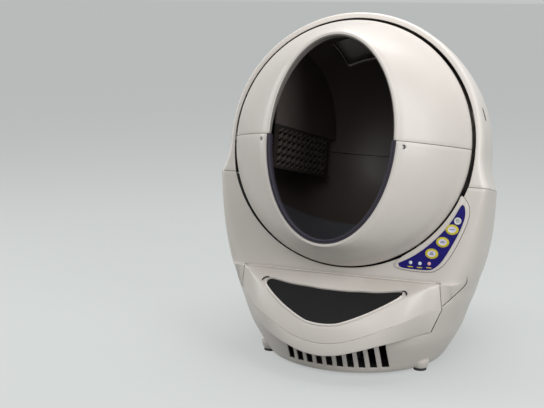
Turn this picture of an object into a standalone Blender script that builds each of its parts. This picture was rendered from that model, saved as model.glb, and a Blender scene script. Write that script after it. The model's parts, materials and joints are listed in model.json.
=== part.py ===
"""A self cleaning litter box: a tilted globe that turns in a base under a hinged bonnet.

Metres, +Z up. The front faces -Y. The origin is the middle of the footprint, on the floor.
The globe, bonnet and drive are drawn in the axis frame: x across, y along the globe's axis
towards the back, z square to both. That frame leans back by TILT about the ring centre.
"""
import math

import bmesh
import bpy
from mathutils import Matrix, Vector

# Overall layout
GLOBE_RADIUS = 0.258
GLOBE_LENGTH = 0.400
RIDGE_HEIGHT = 0.201
RIDGE_CLEARANCE = 0.014
RING_HEIGHT = RIDGE_HEIGHT + GLOBE_RADIUS + RIDGE_CLEARANCE
TILT = math.radians(13)
SEAM_DROP = 0.077
FOOT_LIFT = 0.006
OVERRUN = 0.060
FIT = 0.0003
SEAM_GAP = 0.0010
PANEL_GAP = 0.0012

# Bonnet and base skin
POD_GAP = 0.025
POD_FLARE = 0.017
POD_RADIUS = GLOBE_RADIUS + POD_GAP
POD_HALF_WIDTH = POD_RADIUS + POD_FLARE
POD_WIDEST = 0.025
POD_FRONT_RUN = 0.178
POD_BACK_ROOM = 0.035
POD_BACK_RUN = GLOBE_LENGTH + POD_BACK_ROOM
POD_BACK_POWER = 2.2
SHELL_WALL = 0.004
RIM_ROUND_TOP = 0.008
RIM_ROUND_SIDE = 0.030
RIM_ROUND_RISE = 0.160
RIM_BLEND_SHARE = 1.15
BASE_FLOOR_CENTRE = 0.055
BORE_GAP = 0.009
BORE_FULLNESS = 0.044
BASE_BORE_SIDE_GAP = 0.0125
BASE_BORE_LOW_GAP = 0.0055
BORE_RADIUS = GLOBE_RADIUS + BORE_GAP
BORE_SIDE_DROP = BORE_RADIUS + BORE_FULLNESS
BASE_BORE_ACROSS = GLOBE_RADIUS + BASE_BORE_SIDE_GAP
BASE_BORE_DOWN = GLOBE_RADIUS + BASE_BORE_LOW_GAP
RIM_FLANGE = 0.003
RIM_FLANGE_DEPTH = 0.016
back_turn_shares = (0.028, 0.083, 0.167, 0.25, 0.333, 0.417, 0.5, 0.583, 0.667, 0.75, 0.833, 0.917, 0.968)
front_turn_shares = (0.28, 0.37, 0.46, 0.55, 0.64, 0.73, 0.82, 0.91, 1.0)
lip_front_shares = ((1.0, 1 / 3), (0.8, 1.0), (0.3, 1.0))
lip_back_shares = ((0.5, 1.0), (0.85, 1.0))
corner_shares = (-1.0, -0.5, 0.0, 0.5, 1.0)
rim_turn_shares = (0.5, 0.0, -0.5, -1.0)
skirt_shares = (1.0, 0.66, 0.33)
DOME_STEPS = 28
AXLE_STEPS = 16
LAMP_STEPS = 16

# Share of the seam height, of the half width, of the front reach and of the back reach
level_shares = (
    (0.000, 0.647, 0.775, 0.801),
    (0.015, 0.670, 0.787, 0.812),
    (0.036, 0.687, 0.799, 0.817),
    (0.097, 0.733, 0.859, 0.826),
    (0.173, 0.783, 0.938, 0.840),
    (0.258, 0.820, 0.962, 0.863),
    (0.367, 0.873, 0.980, 0.905),
    (0.439, 0.900, 0.986, 0.924),
    (0.499, 0.927, 0.992, 0.940),
    (0.625, 0.960, 0.998, 0.970),
    (0.750, 0.980, 0.999, 0.989),
    (0.878, 0.992, 1.000, 0.997),
    (1.000, 1.000, 1.000, 1.000),
)

# Step and drawer
STEP_REACH = 0.1322
FACET_SHAVE = 0.0005
DRAWER_MARGIN = 0.076
DRAWER_TOP_INSET = 0.006
DRAWER_LOW_INSET = 0.021
DRAWER_WIDEST_DROP = 0.054
DRAWER_WIDEST = POD_HALF_WIDTH - DRAWER_MARGIN
DRAWER_HALF_WIDTH = DRAWER_WIDEST - DRAWER_TOP_INSET
DRAWER_LOW_HALF = DRAWER_WIDEST - DRAWER_LOW_INSET
DRAWER_WIDEST_HEIGHT = RIDGE_HEIGHT - DRAWER_WIDEST_DROP
DRAWER_BACK = 0.052
FRONT_SKIN = 0.008
STEP_SKIN = 0.013
DRAWER_SOLE = 0.006
PAD_MARGIN = 0.075
PAD_HALF_WIDTH = DRAWER_WIDEST - PAD_MARGIN
PAD_POCKET = 0.006
PAD_THICK = 0.003

# Distance from the middle as a share of the drawer's widest half. Then the step's lower edge,
# the crease and the bottom edge, each as a share of the step's reach and of the ridge's height
front_shares = (
    (0.000, 0.917, 0.592, 0.992, 0.428, 1.000, 0.294),
    (0.134, 0.902, 0.604, 0.981, 0.440, 0.992, 0.308),
    (0.223, 0.864, 0.634, 0.958, 0.460, 0.974, 0.328),
    (0.312, 0.803, 0.673, 0.924, 0.488, 0.939, 0.356),
    (0.402, 0.735, 0.717, 0.875, 0.522, 0.887, 0.383),
    (0.491, 0.648, 0.765, 0.811, 0.560, 0.803, 0.408),
    (0.580, 0.557, 0.813, 0.724, 0.597, 0.675, 0.425),
    (0.670, 0.459, 0.862, 0.629, 0.632, 0.523, 0.440),
    (0.759, 0.357, 0.910, 0.508, 0.669, 0.342, 0.455),
    (0.848, 0.228, 0.950, 0.357, 0.711, 0.175, 0.473),
    (0.946, 0.054, 0.985, 0.153, 0.744, 0.024, 0.490),
    (1.009, 0.024, 0.990, 0.017, 0.761, -0.051, 0.498),
    (1.071, 0.017, 0.992, -0.104, 0.803, -0.142, 0.512),
    (1.170, 0.012, 0.994, -0.263, 0.935, -0.286, 0.527),
)

# Share of the pad's half width, then its upper and lower edge as shares of the step's slope
pad_shares = (
    (0.00, 0.31, 0.95), (0.20, 0.315, 0.95), (0.40, 0.33, 0.95), (0.60, 0.375, 0.95), (0.75, 0.41, 0.945),
    (0.86, 0.435, 0.92), (0.94, 0.47, 0.88), (0.98, 0.52, 0.84), (1.00, 0.60, 0.77),
)
BIN_TOP_DROP = 0.031
BIN_SOLE_GAP = 0.0129
BIN_SHOULDER_RISE = 0.028
BIN_SIDE_GAP = 0.030
BIN_SIDE_LEAN = 0.008
BIN_HALF_BOTTOM = 0.050
BIN_TOP = RIDGE_HEIGHT - BIN_TOP_DROP
BIN_BOTTOM = RIDGE_HEIGHT * front_shares[0][-1] + BIN_SOLE_GAP
BIN_SHOULDER = BIN_BOTTOM + BIN_SHOULDER_RISE
BIN_HALF_TOP = DRAWER_WIDEST - BIN_SIDE_GAP
BIN_HALF_SHOULDER = BIN_HALF_TOP - BIN_SIDE_LEAN
BIN_LENGTH = 0.232
BIN_WALL = 0.0025
RUNNER_X = 0.042
RUNNER_WIDTH = 0.008
RUNNER_FOOT = 0.026
RUNNER_FOOT_THICK = 0.004
FILTER_WIDTH = 0.150
FILTER_ROOM = 0.020
FILTER_HEIGHT = BIN_TOP - BIN_SHOULDER - FILTER_ROOM
FILTER_THICK = 0.008
FILTER_FRAME = 0.006

# Vents below the drawer
VENT_COUNT = 10
VENT_WIDTH = 0.0145
VENT_PITCH = 0.0225
VENT_SHIFT = 0.015
VENT_FOOT = 0.0187
VENT_MARGIN = 0.006

# Globe
GLOBE_POWER = 2.5
GLOBE_WALL = 0.004
GLOBE_FRONT_POWER = 1.6
MOUTH_FORWARD = 0.1365
MOUTH_SIDE_BAND = 0.125
MOUTH_SIDE_BAND_LOW = 0.1205
MOUTH_TOP_BAND = 0.050
MOUTH_LOW_BAND = 0.042
MOUTH_HALF_WIDTH = GLOBE_RADIUS - MOUTH_SIDE_BAND
MOUTH_HALF_WIDTH_LOW = GLOBE_RADIUS - MOUTH_SIDE_BAND_LOW
MOUTH_RISE = GLOBE_RADIUS - MOUTH_TOP_BAND
MOUTH_DROP = GLOBE_RADIUS - MOUTH_LOW_BAND
MOUTH_EDGE = 0.007
MOUTH_EDGE_ROUND = 0.0025
GLOBE_SPLIT = 0.0003
HUB_RADIUS = 0.026
HUB_DEPTH = 0.012
HUB_FLANGE = 0.032
HUB_FLANGE_THICK = 0.0020
globe_front_shares = (0.14, 0.32, 0.52, 0.75, 1.0)
globe_back_shares = (0.14, 0.30, 0.46, 0.61, 0.75, 0.88, 1.0)
GLOBE_SEGMENTS = 20
LINING_WALL = 0.0025
LIP_WIDTH = 0.009
LIP_PROUD = 0.003
LIP_DEPTH = 0.014
LIP_HOLD_SHARE = 0.3
GLOBE_SCREW_RADIUS = 0.0038
GLOBE_SCREW_THICK = 0.0016
GLOBE_SCREW_MARGIN = 0.017
GLOBE_SCREW_X = MOUTH_HALF_WIDTH_LOW + GLOBE_SCREW_MARGIN
GLOBE_SCREW_RISE = -0.010
GLOBE_SCREW_DEPTH = -0.1275
GLOBE_SCREW_LEAN = math.radians(52)

# Sifting screen and waste port
SCREEN_MARGIN = 0.017
SCREEN_X = -MOUTH_HALF_WIDTH - SCREEN_MARGIN
SCREEN_THICK = 0.003
SCREEN_FOOT = -0.066
SCREEN_HEAD = 0.028
SCREEN_START = -0.062
SCREEN_BACK_ROOM = 0.104
SCREEN_END = GLOBE_LENGTH - SCREEN_BACK_ROOM
SCREEN_FRAME = 0.008
SCREEN_LIP = 0.010
SLOT_ROWS = 5
SLOT_COLUMNS = 11
SLOT_HEIGHT = 0.0085
SLOT_LENGTH = 0.018
SLOT_LEAN = math.radians(20)
PORT_LOW_X = -0.100
PORT_HIGH_X = 0.070
PORT_START = 0.105
PORT_END = 0.245
PORT_FRAME = 0.010
PORT_PROUD = 0.003

# Drive
TOOTH_MODULE = 0.005
TOOTH_ROOT_SHARE = 0.29
TOOTH_TIP_SHARE = 0.15
RING_RIM = 0.0083
PINION_TEETH = 13
GEAR_START = 0.316
GEAR_FACE = 0.014
TRACK_FACE = 0.012
TRACK_STEP = 0.009
ADDENDUM = 1.0
DEDENDUM = 1.25
BACKLASH = 0.0004
PINION_ANGLE = math.radians(-55)
SHAFT_RADIUS = 0.005
DRIVE_GAP = 0.0005
ROLLER_RADIUS = 0.013
ROLLER_FACE = 0.012
ROLLER_DEPTH = 0.030
ROLLER_ANGLE = math.radians(38)
REAR_ROLLER_RADIUS = 0.011
REAR_ROLLER_FACE = 0.009
REAR_ROLLER_ANGLE = math.radians(30)
AXLE_RADIUS = 0.003
BRACKET_HALF = 0.020
BRACKET_WALL = 0.004
BRACKET_TOP = 0.0045
BRACKET_DROP = 0.018
GEARBOX_WIDTH = 0.078
GEARBOX_HEIGHT = 0.064
GEARBOX_THICK = 0.022
MOTOR_RADIUS = 0.019
MOTOR_LENGTH = 0.024

# Deck that cradles the globe
DECK_GAP = 0.012
DECK_EDGE_GAP = 0.0008
DECK_WALL = 0.0025
DECK_FRONT = 0.0045
DECK_FLANGE = 0.003
DECK_RING_ROOM = 0.017
DECK_REAR_START = 0.298
DECK_REAR = 0.350
CHUTE_HALF_WIDTH = 0.085
CHUTE_START = 0.080
CHUTE_LENGTH = 0.125

# Bonnet hinge and side slots
HINGE_OFFSET = 0.0075
KNUCKLE_RADIUS = 0.006
KNUCKLE_HALF = 0.024
KNUCKLE_SIDE = 0.012
KNUCKLE_GAP = 0.0006
KNUCKLE_TAB = 0.016
HINGE_PIN_RADIUS = 0.0025
SLOT_RISE = 0.086
SLOT_SPAN = 0.028
SLOT_WIDTH = 0.007
SLOT_DEPTH_BACK = 0.030

# Control panel
BEZEL_PROUD = 0.003
BEZEL_BACK = 0.004
MEMBRANE_SINK = 0.0010
MEMBRANE_THICK = 0.0009
BUTTON_PROUD = 0.0012
BUTTON_TRAVEL = 0.0010
BUTTON_GAP = 0.0004
OVAL_HALF_WIDTH = 0.0120
OVAL_HALF_HEIGHT = 0.0088
ROUND_BUTTON_RADIUS = 0.0082
LED_RADIUS = 0.0042
BOARD_DEPTH = 0.0110
BOARD_THICK = 0.0016
BOARD_SHARE = 0.84
BOSS_RADIUS = 0.003
bezel_outline_shares = (
    (0.938, -0.362), (0.968, -0.392), (0.993, -0.440), (0.999, -0.500), (0.985, -0.572),
    (0.952, -0.668), (0.909, -0.770), (0.866, -0.850), (0.826, -0.905), (0.780, -0.944),
    (0.735, -0.962), (0.620, -0.968), (0.515, -0.962), (0.468, -0.952), (0.452, -0.932),
    (0.463, -0.907), (0.520, -0.876), (0.600, -0.823), (0.680, -0.758), (0.755, -0.683),
    (0.820, -0.604), (0.871, -0.523), (0.910, -0.437), (0.924, -0.385),
)
membrane_outline_shares = (
    (0.942, -0.428), (0.958, -0.440), (0.967, -0.480), (0.966, -0.530), (0.945, -0.608),
    (0.912, -0.690), (0.868, -0.782), (0.826, -0.860), (0.793, -0.904), (0.760, -0.932),
    (0.722, -0.943), (0.620, -0.946), (0.520, -0.942), (0.492, -0.936), (0.486, -0.920),
    (0.498, -0.906), (0.560, -0.872), (0.638, -0.817), (0.714, -0.750), (0.785, -0.674),
    (0.842, -0.600), (0.888, -0.525), (0.924, -0.450),
)
oval_button_shares = ((0.878, -0.622), (0.813, -0.724), (0.735, -0.820))
round_button_share = (0.916, -0.553)
led_shares = ((0.574, -0.903), (0.648, -0.904), (0.721, -0.899))
boss_shares = ((0.905, -0.500), (0.788, -0.868), (0.530, -0.920))

# Floor plate, feet and fittings
FLOOR_THICK = 0.003
FLOOR_LEVEL = 0.0045
FOOT_HALF = 0.019
FOOT_HEIGHT = 0.022
FOOT_TAPER = 0.004
FOOT_PAD_RADIUS = 0.014
FOOT_PAD_THICK = 0.0057
FOOT_FRONT = -0.030
FOOT_FRONT_SIDE = 0.035
FOOT_REAR_SIDE = 0.057
FOOT_REAR_MARGIN = 0.028
INLET_X = -0.030
INLET_DROP = 0.081
INLET_HEIGHT = RIDGE_HEIGHT - INLET_DROP
INLET_RADIUS = 0.0075
INLET_BORE = 0.0032
INLET_DEPTH = 0.014
INLET_FLANGE = 0.0105
INLET_FLANGE_THICK = 0.0020
INLET_BOSS = 0.014
INLET_BOSS_PROUD = 0.007

# Worked out from the sizes above
POD_LENGTH = POD_WIDEST + POD_BACK_RUN
HINGE_DEPTH = POD_LENGTH + HINGE_OFFSET
SEAM_HEIGHT = RING_HEIGHT - SEAM_DROP * math.cos(TILT)
SEAM_CENTRE = POD_WIDEST * math.cos(TILT) - SEAM_DROP * math.sin(TILT)
SEAM_FRONT = (POD_FRONT_RUN - POD_WIDEST) * math.cos(TILT) + SEAM_DROP * math.sin(TILT)
SEAM_BACK = POD_LENGTH * math.cos(TILT) - SEAM_DROP * math.sin(TILT)
RIDGE_Y = (RIDGE_HEIGHT - RING_HEIGHT) * math.tan(TILT)
FRONT_REACH = STEP_REACH - RIDGE_Y
GEAR_SEAT = GLOBE_RADIUS * (1 - (GEAR_START / GLOBE_LENGTH) ** GLOBE_POWER) ** (1 / GLOBE_POWER)
RING_TEETH = round(2 * (GEAR_SEAT + RING_RIM) / TOOTH_MODULE)
PITCH_RADIUS = TOOTH_MODULE * RING_TEETH / 2
TRACK_RADIUS = PITCH_RADIUS - TRACK_STEP
DECK_REAR_RADIUS = PITCH_RADIUS + DECK_RING_ROOM
PINION_PITCH = TOOTH_MODULE * PINION_TEETH / 2
PINION_CENTRE = PITCH_RADIUS + PINION_PITCH
ROLLER_CENTRE = GLOBE_RADIUS + ROLLER_RADIUS + DRIVE_GAP
REAR_ROLLER_CENTRE = TRACK_RADIUS + REAR_ROLLER_RADIUS + DRIVE_GAP
TRACK_START = GEAR_START + GEAR_FACE
REAR_ROLLER_DEPTH = TRACK_START + TRACK_FACE / 2
BIN_FRONT = -DRAWER_BACK + FIT
BIN_BACK = BIN_FRONT + BIN_LENGTH
FULL_TURN = 2 * math.pi
HALF_TURN = math.pi
QUARTER_TURN = math.pi / 2

BEIGE = ((0.80, 0.77, 0.72), 0.38, 0.0)
CHARCOAL = ((0.035, 0.032, 0.034), 0.55, 0.0)
RUBBER = ((0.05, 0.047, 0.055), 0.75, 0.0)
BLACK = ((0.015, 0.015, 0.016), 0.45, 0.0)
BLUE = ((0.018, 0.012, 0.16), 0.30, 0.0)
LILAC = ((0.72, 0.69, 0.86), 0.35, 0.0)
GREY = ((0.70, 0.70, 0.68), 0.35, 0.0)
STEEL = ((0.62, 0.62, 0.63), 0.28, 1.0)
GREEN = ((0.02, 0.12, 0.05), 0.50, 0.0)
LENS = ((0.80, 0.86, 0.92), 0.20, 0.0)
LENS_RED = ((0.85, 0.30, 0.32), 0.20, 0.0)
NYLON = ((0.55, 0.54, 0.50), 0.45, 0.0)


def pod_share(depth):
    """Radius of the pod at a depth, as a share of its widest radius."""
    behind = depth - POD_WIDEST
    if behind < 0:
        return math.sqrt(1 - (behind / POD_FRONT_RUN) ** 2)
    rest = max(1 - (behind / POD_BACK_RUN) ** POD_BACK_POWER, 0.0)
    return rest ** (1 / POD_BACK_POWER)


def back_depths():
    """Depths of the stations behind the widest one, shared by bonnet and base."""
    power = 2 / POD_BACK_POWER
    return [POD_WIDEST + POD_BACK_RUN * math.sin(QUARTER_TURN * share) ** power
            for share in back_turn_shares]


def top_reach(depth):
    """How far back the bonnet's top line reaches at a depth."""
    return depth * math.cos(TILT) + POD_RADIUS * pod_share(depth) * math.sin(TILT)


BACK_REACH = max(
    max(top_reach(depth) for depth in back_depths()),
    (HINGE_DEPTH + KNUCKLE_RADIUS) * math.cos(TILT) - SEAM_DROP * math.sin(TILT),
)
RING_Y = (FRONT_REACH - BACK_REACH) / 2

for old in list(bpy.data.objects):
    bpy.data.objects.remove(old, do_unlink=True)


def frame(name, location, tilt=0.0, spin=0.0, parent=None):
    """An empty that carries pieces; tilt turns it about x and spin about y."""
    empty = bpy.data.objects.new(name, None)
    bpy.context.collection.objects.link(empty)
    empty.parent = parent
    empty.location = location
    empty.rotation_euler = (tilt, spin, 0.0)
    return empty


RING = (0.0, RING_Y, RING_HEIGHT)
axis_frame = frame("globe_axis", RING, tilt=-TILT)
hinge_frame = frame("bonnet_hinge", (0.0, HINGE_DEPTH, -SEAM_DROP), parent=axis_frame)
base_frame = frame("base_origin", (0.0, RING_Y, 0.0))


def to_object(name, bm, parent):
    """Turns a bmesh into an object whose faces point out."""
    bmesh.ops.recalc_face_normals(bm, faces=bm.faces)
    mesh = bpy.data.meshes.new(name)
    bm.to_mesh(mesh)
    bm.free()
    obj = bpy.data.objects.new(name, mesh)
    bpy.context.collection.objects.link(obj)
    obj.parent = parent
    return obj


def grid(bm, rings, closed):
    """Lays quads between neighbouring rings of points and returns the rows of vertices."""
    rows = [[bm.verts.new(point) for point in ring] for ring in rings]
    for near, far in zip(rows, rows[1:]):
        count = len(near) if closed else len(near) - 1
        for index in range(count):
            following = (index + 1) % len(near)
            bm.faces.new((near[index], near[following], far[following], far[index]))
    return rows


def loft(name, rings, parent):
    """A solid skinned over closed rings, flat at both ends."""
    bm = bmesh.new()
    rows = grid(bm, rings, True)
    bm.faces.new(rows[0])
    bm.faces.new(rows[-1])
    return to_object(name, bm, parent)


def open_shell(name, outer, inner, parent):
    """A shell between two open grids of points, closed along all four edges."""
    bm = bmesh.new()
    out = grid(bm, outer, False)
    inn = grid(bm, inner, False)
    edges = (
        (out[0], inn[0]),
        (out[-1], inn[-1]),
        ([row[0] for row in out], [row[0] for row in inn]),
        ([row[-1] for row in out], [row[-1] for row in inn]),
    )
    for one, two in edges:
        for index in range(len(one) - 1):
            bm.faces.new((one[index], one[index + 1], two[index + 1], two[index]))
    return to_object(name, bm, parent)


def prism(name, outline, start, end, parent):
    """An outline of (x, z) points extruded along y."""
    bm = bmesh.new()
    face = bm.faces.new([bm.verts.new((x, start, z)) for x, z in outline])
    extruded = bmesh.ops.extrude_face_region(bm, geom=[face])["geom"]
    moved = [item for item in extruded if isinstance(item, bmesh.types.BMVert)]
    bmesh.ops.translate(bm, verts=moved, vec=(0.0, end - start, 0.0))
    return to_object(name, bm, parent)


def slab(name, outline, low, high, parent):
    """An outline of (x, y) points extruded along z."""
    bm = bmesh.new()
    face = bm.faces.new([bm.verts.new((x, y, low)) for x, y in outline])
    extruded = bmesh.ops.extrude_face_region(bm, geom=[face])["geom"]
    moved = [item for item in extruded if isinstance(item, bmesh.types.BMVert)]
    bmesh.ops.translate(bm, verts=moved, vec=(0.0, 0.0, high - low))
    return to_object(name, bm, parent)


def block(name, low, high, parent):
    """A box between two corners."""
    outline = [(low[0], low[2]), (high[0], low[2]), (high[0], high[2]), (low[0], high[2])]
    return prism(name, outline, low[1], high[1], parent)


def circle_points(across, up, steps, start=0.0, sweep=FULL_TURN, centre=(0.0, 0.0)):
    """Points of an ellipse, without its last point when it closes on itself."""
    count = steps if abs(sweep - FULL_TURN) < OVERRUN else steps + 1
    angles = [start + sweep * index / steps for index in range(count)]
    return [(centre[0] + across * math.cos(a), centre[1] + up * math.sin(a)) for a in angles]


def rod(name, radius, start, end, parent, centre=(0.0, 0.0), steps=20):
    """A cylinder along y."""
    return prism(name, circle_points(radius, radius, steps, centre=centre), start, end, parent)


def turned(name, profile, parent, steps=48):
    """A closed profile of (radius, depth) points spun about the y axis."""
    bm = bmesh.new()
    verts = [bm.verts.new((radius, depth, 0.0)) for radius, depth in profile]
    following = verts[1:] if profile[0][0] == 0.0 else verts[1:] + verts[:1]
    edges = [bm.edges.new((a, b)) for a, b in zip(verts, following)]
    bmesh.ops.spin(bm, geom=verts + edges, cent=(0.0, 0.0, 0.0), axis=(0.0, 1.0, 0.0),
                   dvec=(0.0, 0.0, 0.0), angle=FULL_TURN, steps=steps, use_merge=True)
    bmesh.ops.remove_doubles(bm, verts=bm.verts, dist=FIT / 100)
    return to_object(name, bm, parent)


def combine(target, tool, operation="DIFFERENCE"):
    """Cuts, joins or clips the target with a tool, which is used up."""
    modifier = target.modifiers.new(operation.lower(), "BOOLEAN")
    modifier.operation = operation
    modifier.solver = "EXACT"
    modifier.object = tool
    bpy.context.view_layer.update()
    depsgraph = bpy.context.evaluated_depsgraph_get()
    mesh = bpy.data.meshes.new_from_object(target.evaluated_get(depsgraph))
    target.modifiers.clear()
    target.data = mesh
    bpy.data.objects.remove(tool, do_unlink=True)
    return target


def merge_meshes(name, objects):
    """Several separate cutters as one object."""
    bm = bmesh.new()
    for obj in objects:
        bm.from_mesh(obj.data)
    parent = objects[0].parent
    for obj in objects:
        bpy.data.objects.remove(obj, do_unlink=True)
    return to_object(name, bm, parent)


def finish(obj, look):
    """Gives a piece its material and smooth shading with sharp edges."""
    colour, roughness, metallic = look
    material = bpy.data.materials.new(obj.name)
    material.use_nodes = True
    shader = material.node_tree.nodes["Principled BSDF"]
    shader.inputs["Base Color"].default_value = (*colour, 1.0)
    shader.inputs["Roughness"].default_value = roughness
    shader.inputs["Metallic"].default_value = metallic
    obj.data.materials.clear()
    obj.data.materials.append(material)
    obj.data.shade_smooth()
    obj.data.set_sharp_from_angle(angle=math.radians(32))
    return obj


def rehang(obj, empty, offset):
    """Moves a piece drawn in the axis frame onto an empty at the given offset."""
    obj.data.transform(Matrix.Translation(-Vector(offset)))
    obj.parent = empty
    return obj


def mix(one, two, share):
    """The value at a share of the way from one to two."""
    return one + (two - one) * share


def soft_max(one, two, blend):
    """The larger of two values, rounded over where they cross."""
    near = max(blend - abs(one - two), 0.0) / blend
    return max(one, two) + near * near * blend / 4


# Bonnet


def corner_blend(rise):
    """Rounding of the bonnet's front edge: small at the top, large at the seam."""
    share = min(max((rise + SEAM_DROP) / (RIM_ROUND_RISE + SEAM_DROP), 0.0), 1.0)
    return mix(RIM_ROUND_SIDE, RIM_ROUND_TOP, share * share * (3 - 2 * share))


def bonnet_marks(below):
    """Marks along the bonnet's section: down the right side wall, then round the dome."""
    side = [("skirt", share + below * (share == 1.0)) for share in skirt_shares]
    dome = [("dome", HALF_TURN * index / DOME_STEPS) for index in range(DOME_STEPS + 1)]
    return side + dome


def bonnet_point(kind, value, radius_share, inset, side):
    """A point (x, rise) of the bonnet's section."""
    radius = POD_RADIUS * radius_share - inset
    if kind == "dome":
        return radius * math.cos(value), radius * math.sin(value)
    seam_half = POD_HALF_WIDTH * radius_share - inset
    share = min(value, 1.0)
    return side * mix(radius, seam_half, share * share), -SEAM_DROP * value


def bonnet_ring(station, corner, inset, below):
    """One closed ring of the bonnet; corner rings follow the rounded front edge."""
    marks = bonnet_marks(below)
    plan = [(kind, value, 1.0) for kind, value in marks]
    plan += [(kind, value, -1.0) for kind, value in reversed(marks[:len(skirt_shares)])]
    points = []
    for kind, value, side in plan:
        rise = POD_RADIUS * math.sin(value) if kind == "dome" else -SEAM_DROP * value
        blend = corner_blend(rise)
        egg_depth = corner * blend if corner is not None else station
        if corner is None:
            egg_depth = max(station, blend * RIM_BLEND_SHARE)
        share = pod_share(egg_depth)
        depth = soft_max(egg_depth, 0.0, blend)
        x, z = bonnet_point(kind, value, share, inset, side)
        depth = inset + depth * (POD_LENGTH - 2 * inset) / POD_LENGTH
        points.append((x, depth, z))
    return points


def bonnet_form(name, inset, below):
    """The bonnet's outer form, or its hollow when inset, as a solid."""
    rings = [bonnet_ring(0.0, corner, inset, below) for corner in corner_shares]
    rings += [bonnet_ring(depth, None, inset, below) for depth in back_depths()]
    return loft(name, rings, axis_frame)


def bonnet_bore(name, extra, start, end):
    """The opening that the globe stands in: round above the axis, fuller below it."""
    radius = BORE_RADIUS + extra
    top = circle_points(radius, radius, 36, 0.0, HALF_TURN)
    low = circle_points(radius, BORE_SIDE_DROP + extra, 24, HALF_TURN, HALF_TURN)
    return prism(name, top + low[1:-1], start, end, axis_frame)


def knuckle(name, start, end, low, high):
    """A hinge barrel along x with a tab to the shell, in the axis frame."""
    barrel = rod(name, KNUCKLE_RADIUS, start, end, axis_frame)
    turn = Matrix.Rotation(-HALF_TURN / 2, 4, "Z")
    barrel.data.transform(turn)
    barrel.data.transform(Matrix.Translation((0.0, HINGE_DEPTH, -SEAM_DROP)))
    tab_low = (start, max(back_depths()) - SHELL_WALL / 2, low)
    tab_high = (end, HINGE_DEPTH + KNUCKLE_RADIUS / 3, high)
    return combine(barrel, block("tab", tab_low, tab_high, axis_frame), "UNION")


def hinge_bore(name, radius, half):
    """A rod along x on the hinge axis."""
    obj = rod(name, radius, -half, half, axis_frame, steps=16)
    obj.data.transform(Matrix.Rotation(-HALF_TURN / 2, 4, "Z"))
    obj.data.transform(Matrix.Translation((0.0, HINGE_DEPTH, -SEAM_DROP)))
    return obj


def side_slot(side):
    """The narrow finger slot high on each side of the bonnet."""
    low = SLOT_RISE - SLOT_SPAN / 2
    high = SLOT_RISE + SLOT_SPAN / 2
    near = min(side * POD_RADIUS / 2, side * POD_HALF_WIDTH + side * OVERRUN)
    far = max(side * POD_RADIUS / 2, side * POD_HALF_WIDTH + side * OVERRUN)
    start = SLOT_DEPTH_BACK - SLOT_WIDTH / 2
    return block("slot", (near, start, low), (far, start + SLOT_WIDTH, high), axis_frame)


def build_bonnet():
    """The hinged cover over the globe."""
    bonnet = bonnet_form("bonnet", 0.0, 0.0)
    combine(bonnet, bonnet_form("hollow", SHELL_WALL, OVERRUN / SEAM_DROP))
    tube = bonnet_bore("flange", RIM_FLANGE, SHELL_WALL / 2, RIM_FLANGE_DEPTH)
    combine(bonnet, tube, "UNION")
    combine(bonnet, bonnet_bore("bore", 0.0, -OVERRUN, RIM_FLANGE_DEPTH + OVERRUN / 2))
    for side in (-1, 1):
        combine(bonnet, side_slot(side))
    low = -SEAM_DROP + SEAM_GAP
    barrel = knuckle("barrel", -KNUCKLE_HALF, KNUCKLE_HALF, low, low + KNUCKLE_TAB)
    combine(bonnet, barrel, "UNION")
    wide = POD_HALF_WIDTH + OVERRUN
    trim_low = (-wide, -OVERRUN, -POD_LENGTH)
    trim_high = (wide, max(back_depths()) + FIT, -SEAM_DROP + SEAM_GAP / 2)
    combine(bonnet, block("trim", trim_low, trim_high, axis_frame))
    combine(bonnet, hinge_bore("bore", HINGE_PIN_RADIUS + FIT, POD_HALF_WIDTH))
    rehang(bonnet, hinge_frame, (0.0, HINGE_DEPTH, -SEAM_DROP))
    finish(bonnet, BEIGE)


# Base


def base_level(row, inset, clamp):
    """One ring of the base skin, level at the ridge and leaning with the seam at the top."""
    height = mix(FOOT_LIFT, SEAM_HEIGHT, row[0])
    centre = mix(BASE_FLOOR_CENTRE, SEAM_CENTRE, row[0])
    half = POD_HALF_WIDTH * row[1] - inset
    front = centre + SEAM_FRONT * row[2] - inset
    back = SEAM_BACK * row[3] - centre - inset
    plane = (height - RING_HEIGHT) * math.tan(TILT)
    climb = max(height - RIDGE_HEIGHT, 0.0) / (SEAM_HEIGHT - RIDGE_HEIGHT)
    slope = math.tan(TILT * climb)
    points = []
    for across, along in plan_directions():
        y = centre + (back if along > 0 else front) * along
        if clamp:
            y = soft_max(y, plane + inset, RIM_ROUND_SIDE)
        points.append((half * across, y, height - (y - plane) * slope))
    return points


def plan_directions():
    """Points round the base in plan, as shares of its half width and of its front or back run."""
    corner = [math.asin((POD_WIDEST - share * RIM_ROUND_SIDE) / POD_FRONT_RUN) for share in rim_turn_shares]
    front = [(1.0, 0.0)]
    front += [(math.cos(turn), -math.sin(turn)) for turn in corner]
    turns = [QUARTER_TURN * share for share in front_turn_shares]
    front += [(math.cos(turn), -math.sin(turn)) for turn in turns]
    power = 2 / POD_BACK_POWER
    back = [(math.cos(QUARTER_TURN * share) ** power, math.sin(QUARTER_TURN * share) ** power)
            for share in back_turn_shares]
    right_back = back[::-1]
    left_front = [(-across, along) for across, along in front[:-1]][::-1]
    left_back = [(-across, along) for across, along in back]
    return front + left_front + left_back + right_back


def row_at(height):
    """The row of the level tables at a height, between its neighbours."""
    share = (height - FOOT_LIFT) / (SEAM_HEIGHT - FOOT_LIFT)
    rows = level_shares
    low, high = next((a, b) for a, b in zip(rows, rows[1:]) if a[0] <= share <= b[0])
    part = (share - low[0]) / (high[0] - low[0])
    return tuple(mix(one, two, part) for one, two in zip(low, high))


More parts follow.
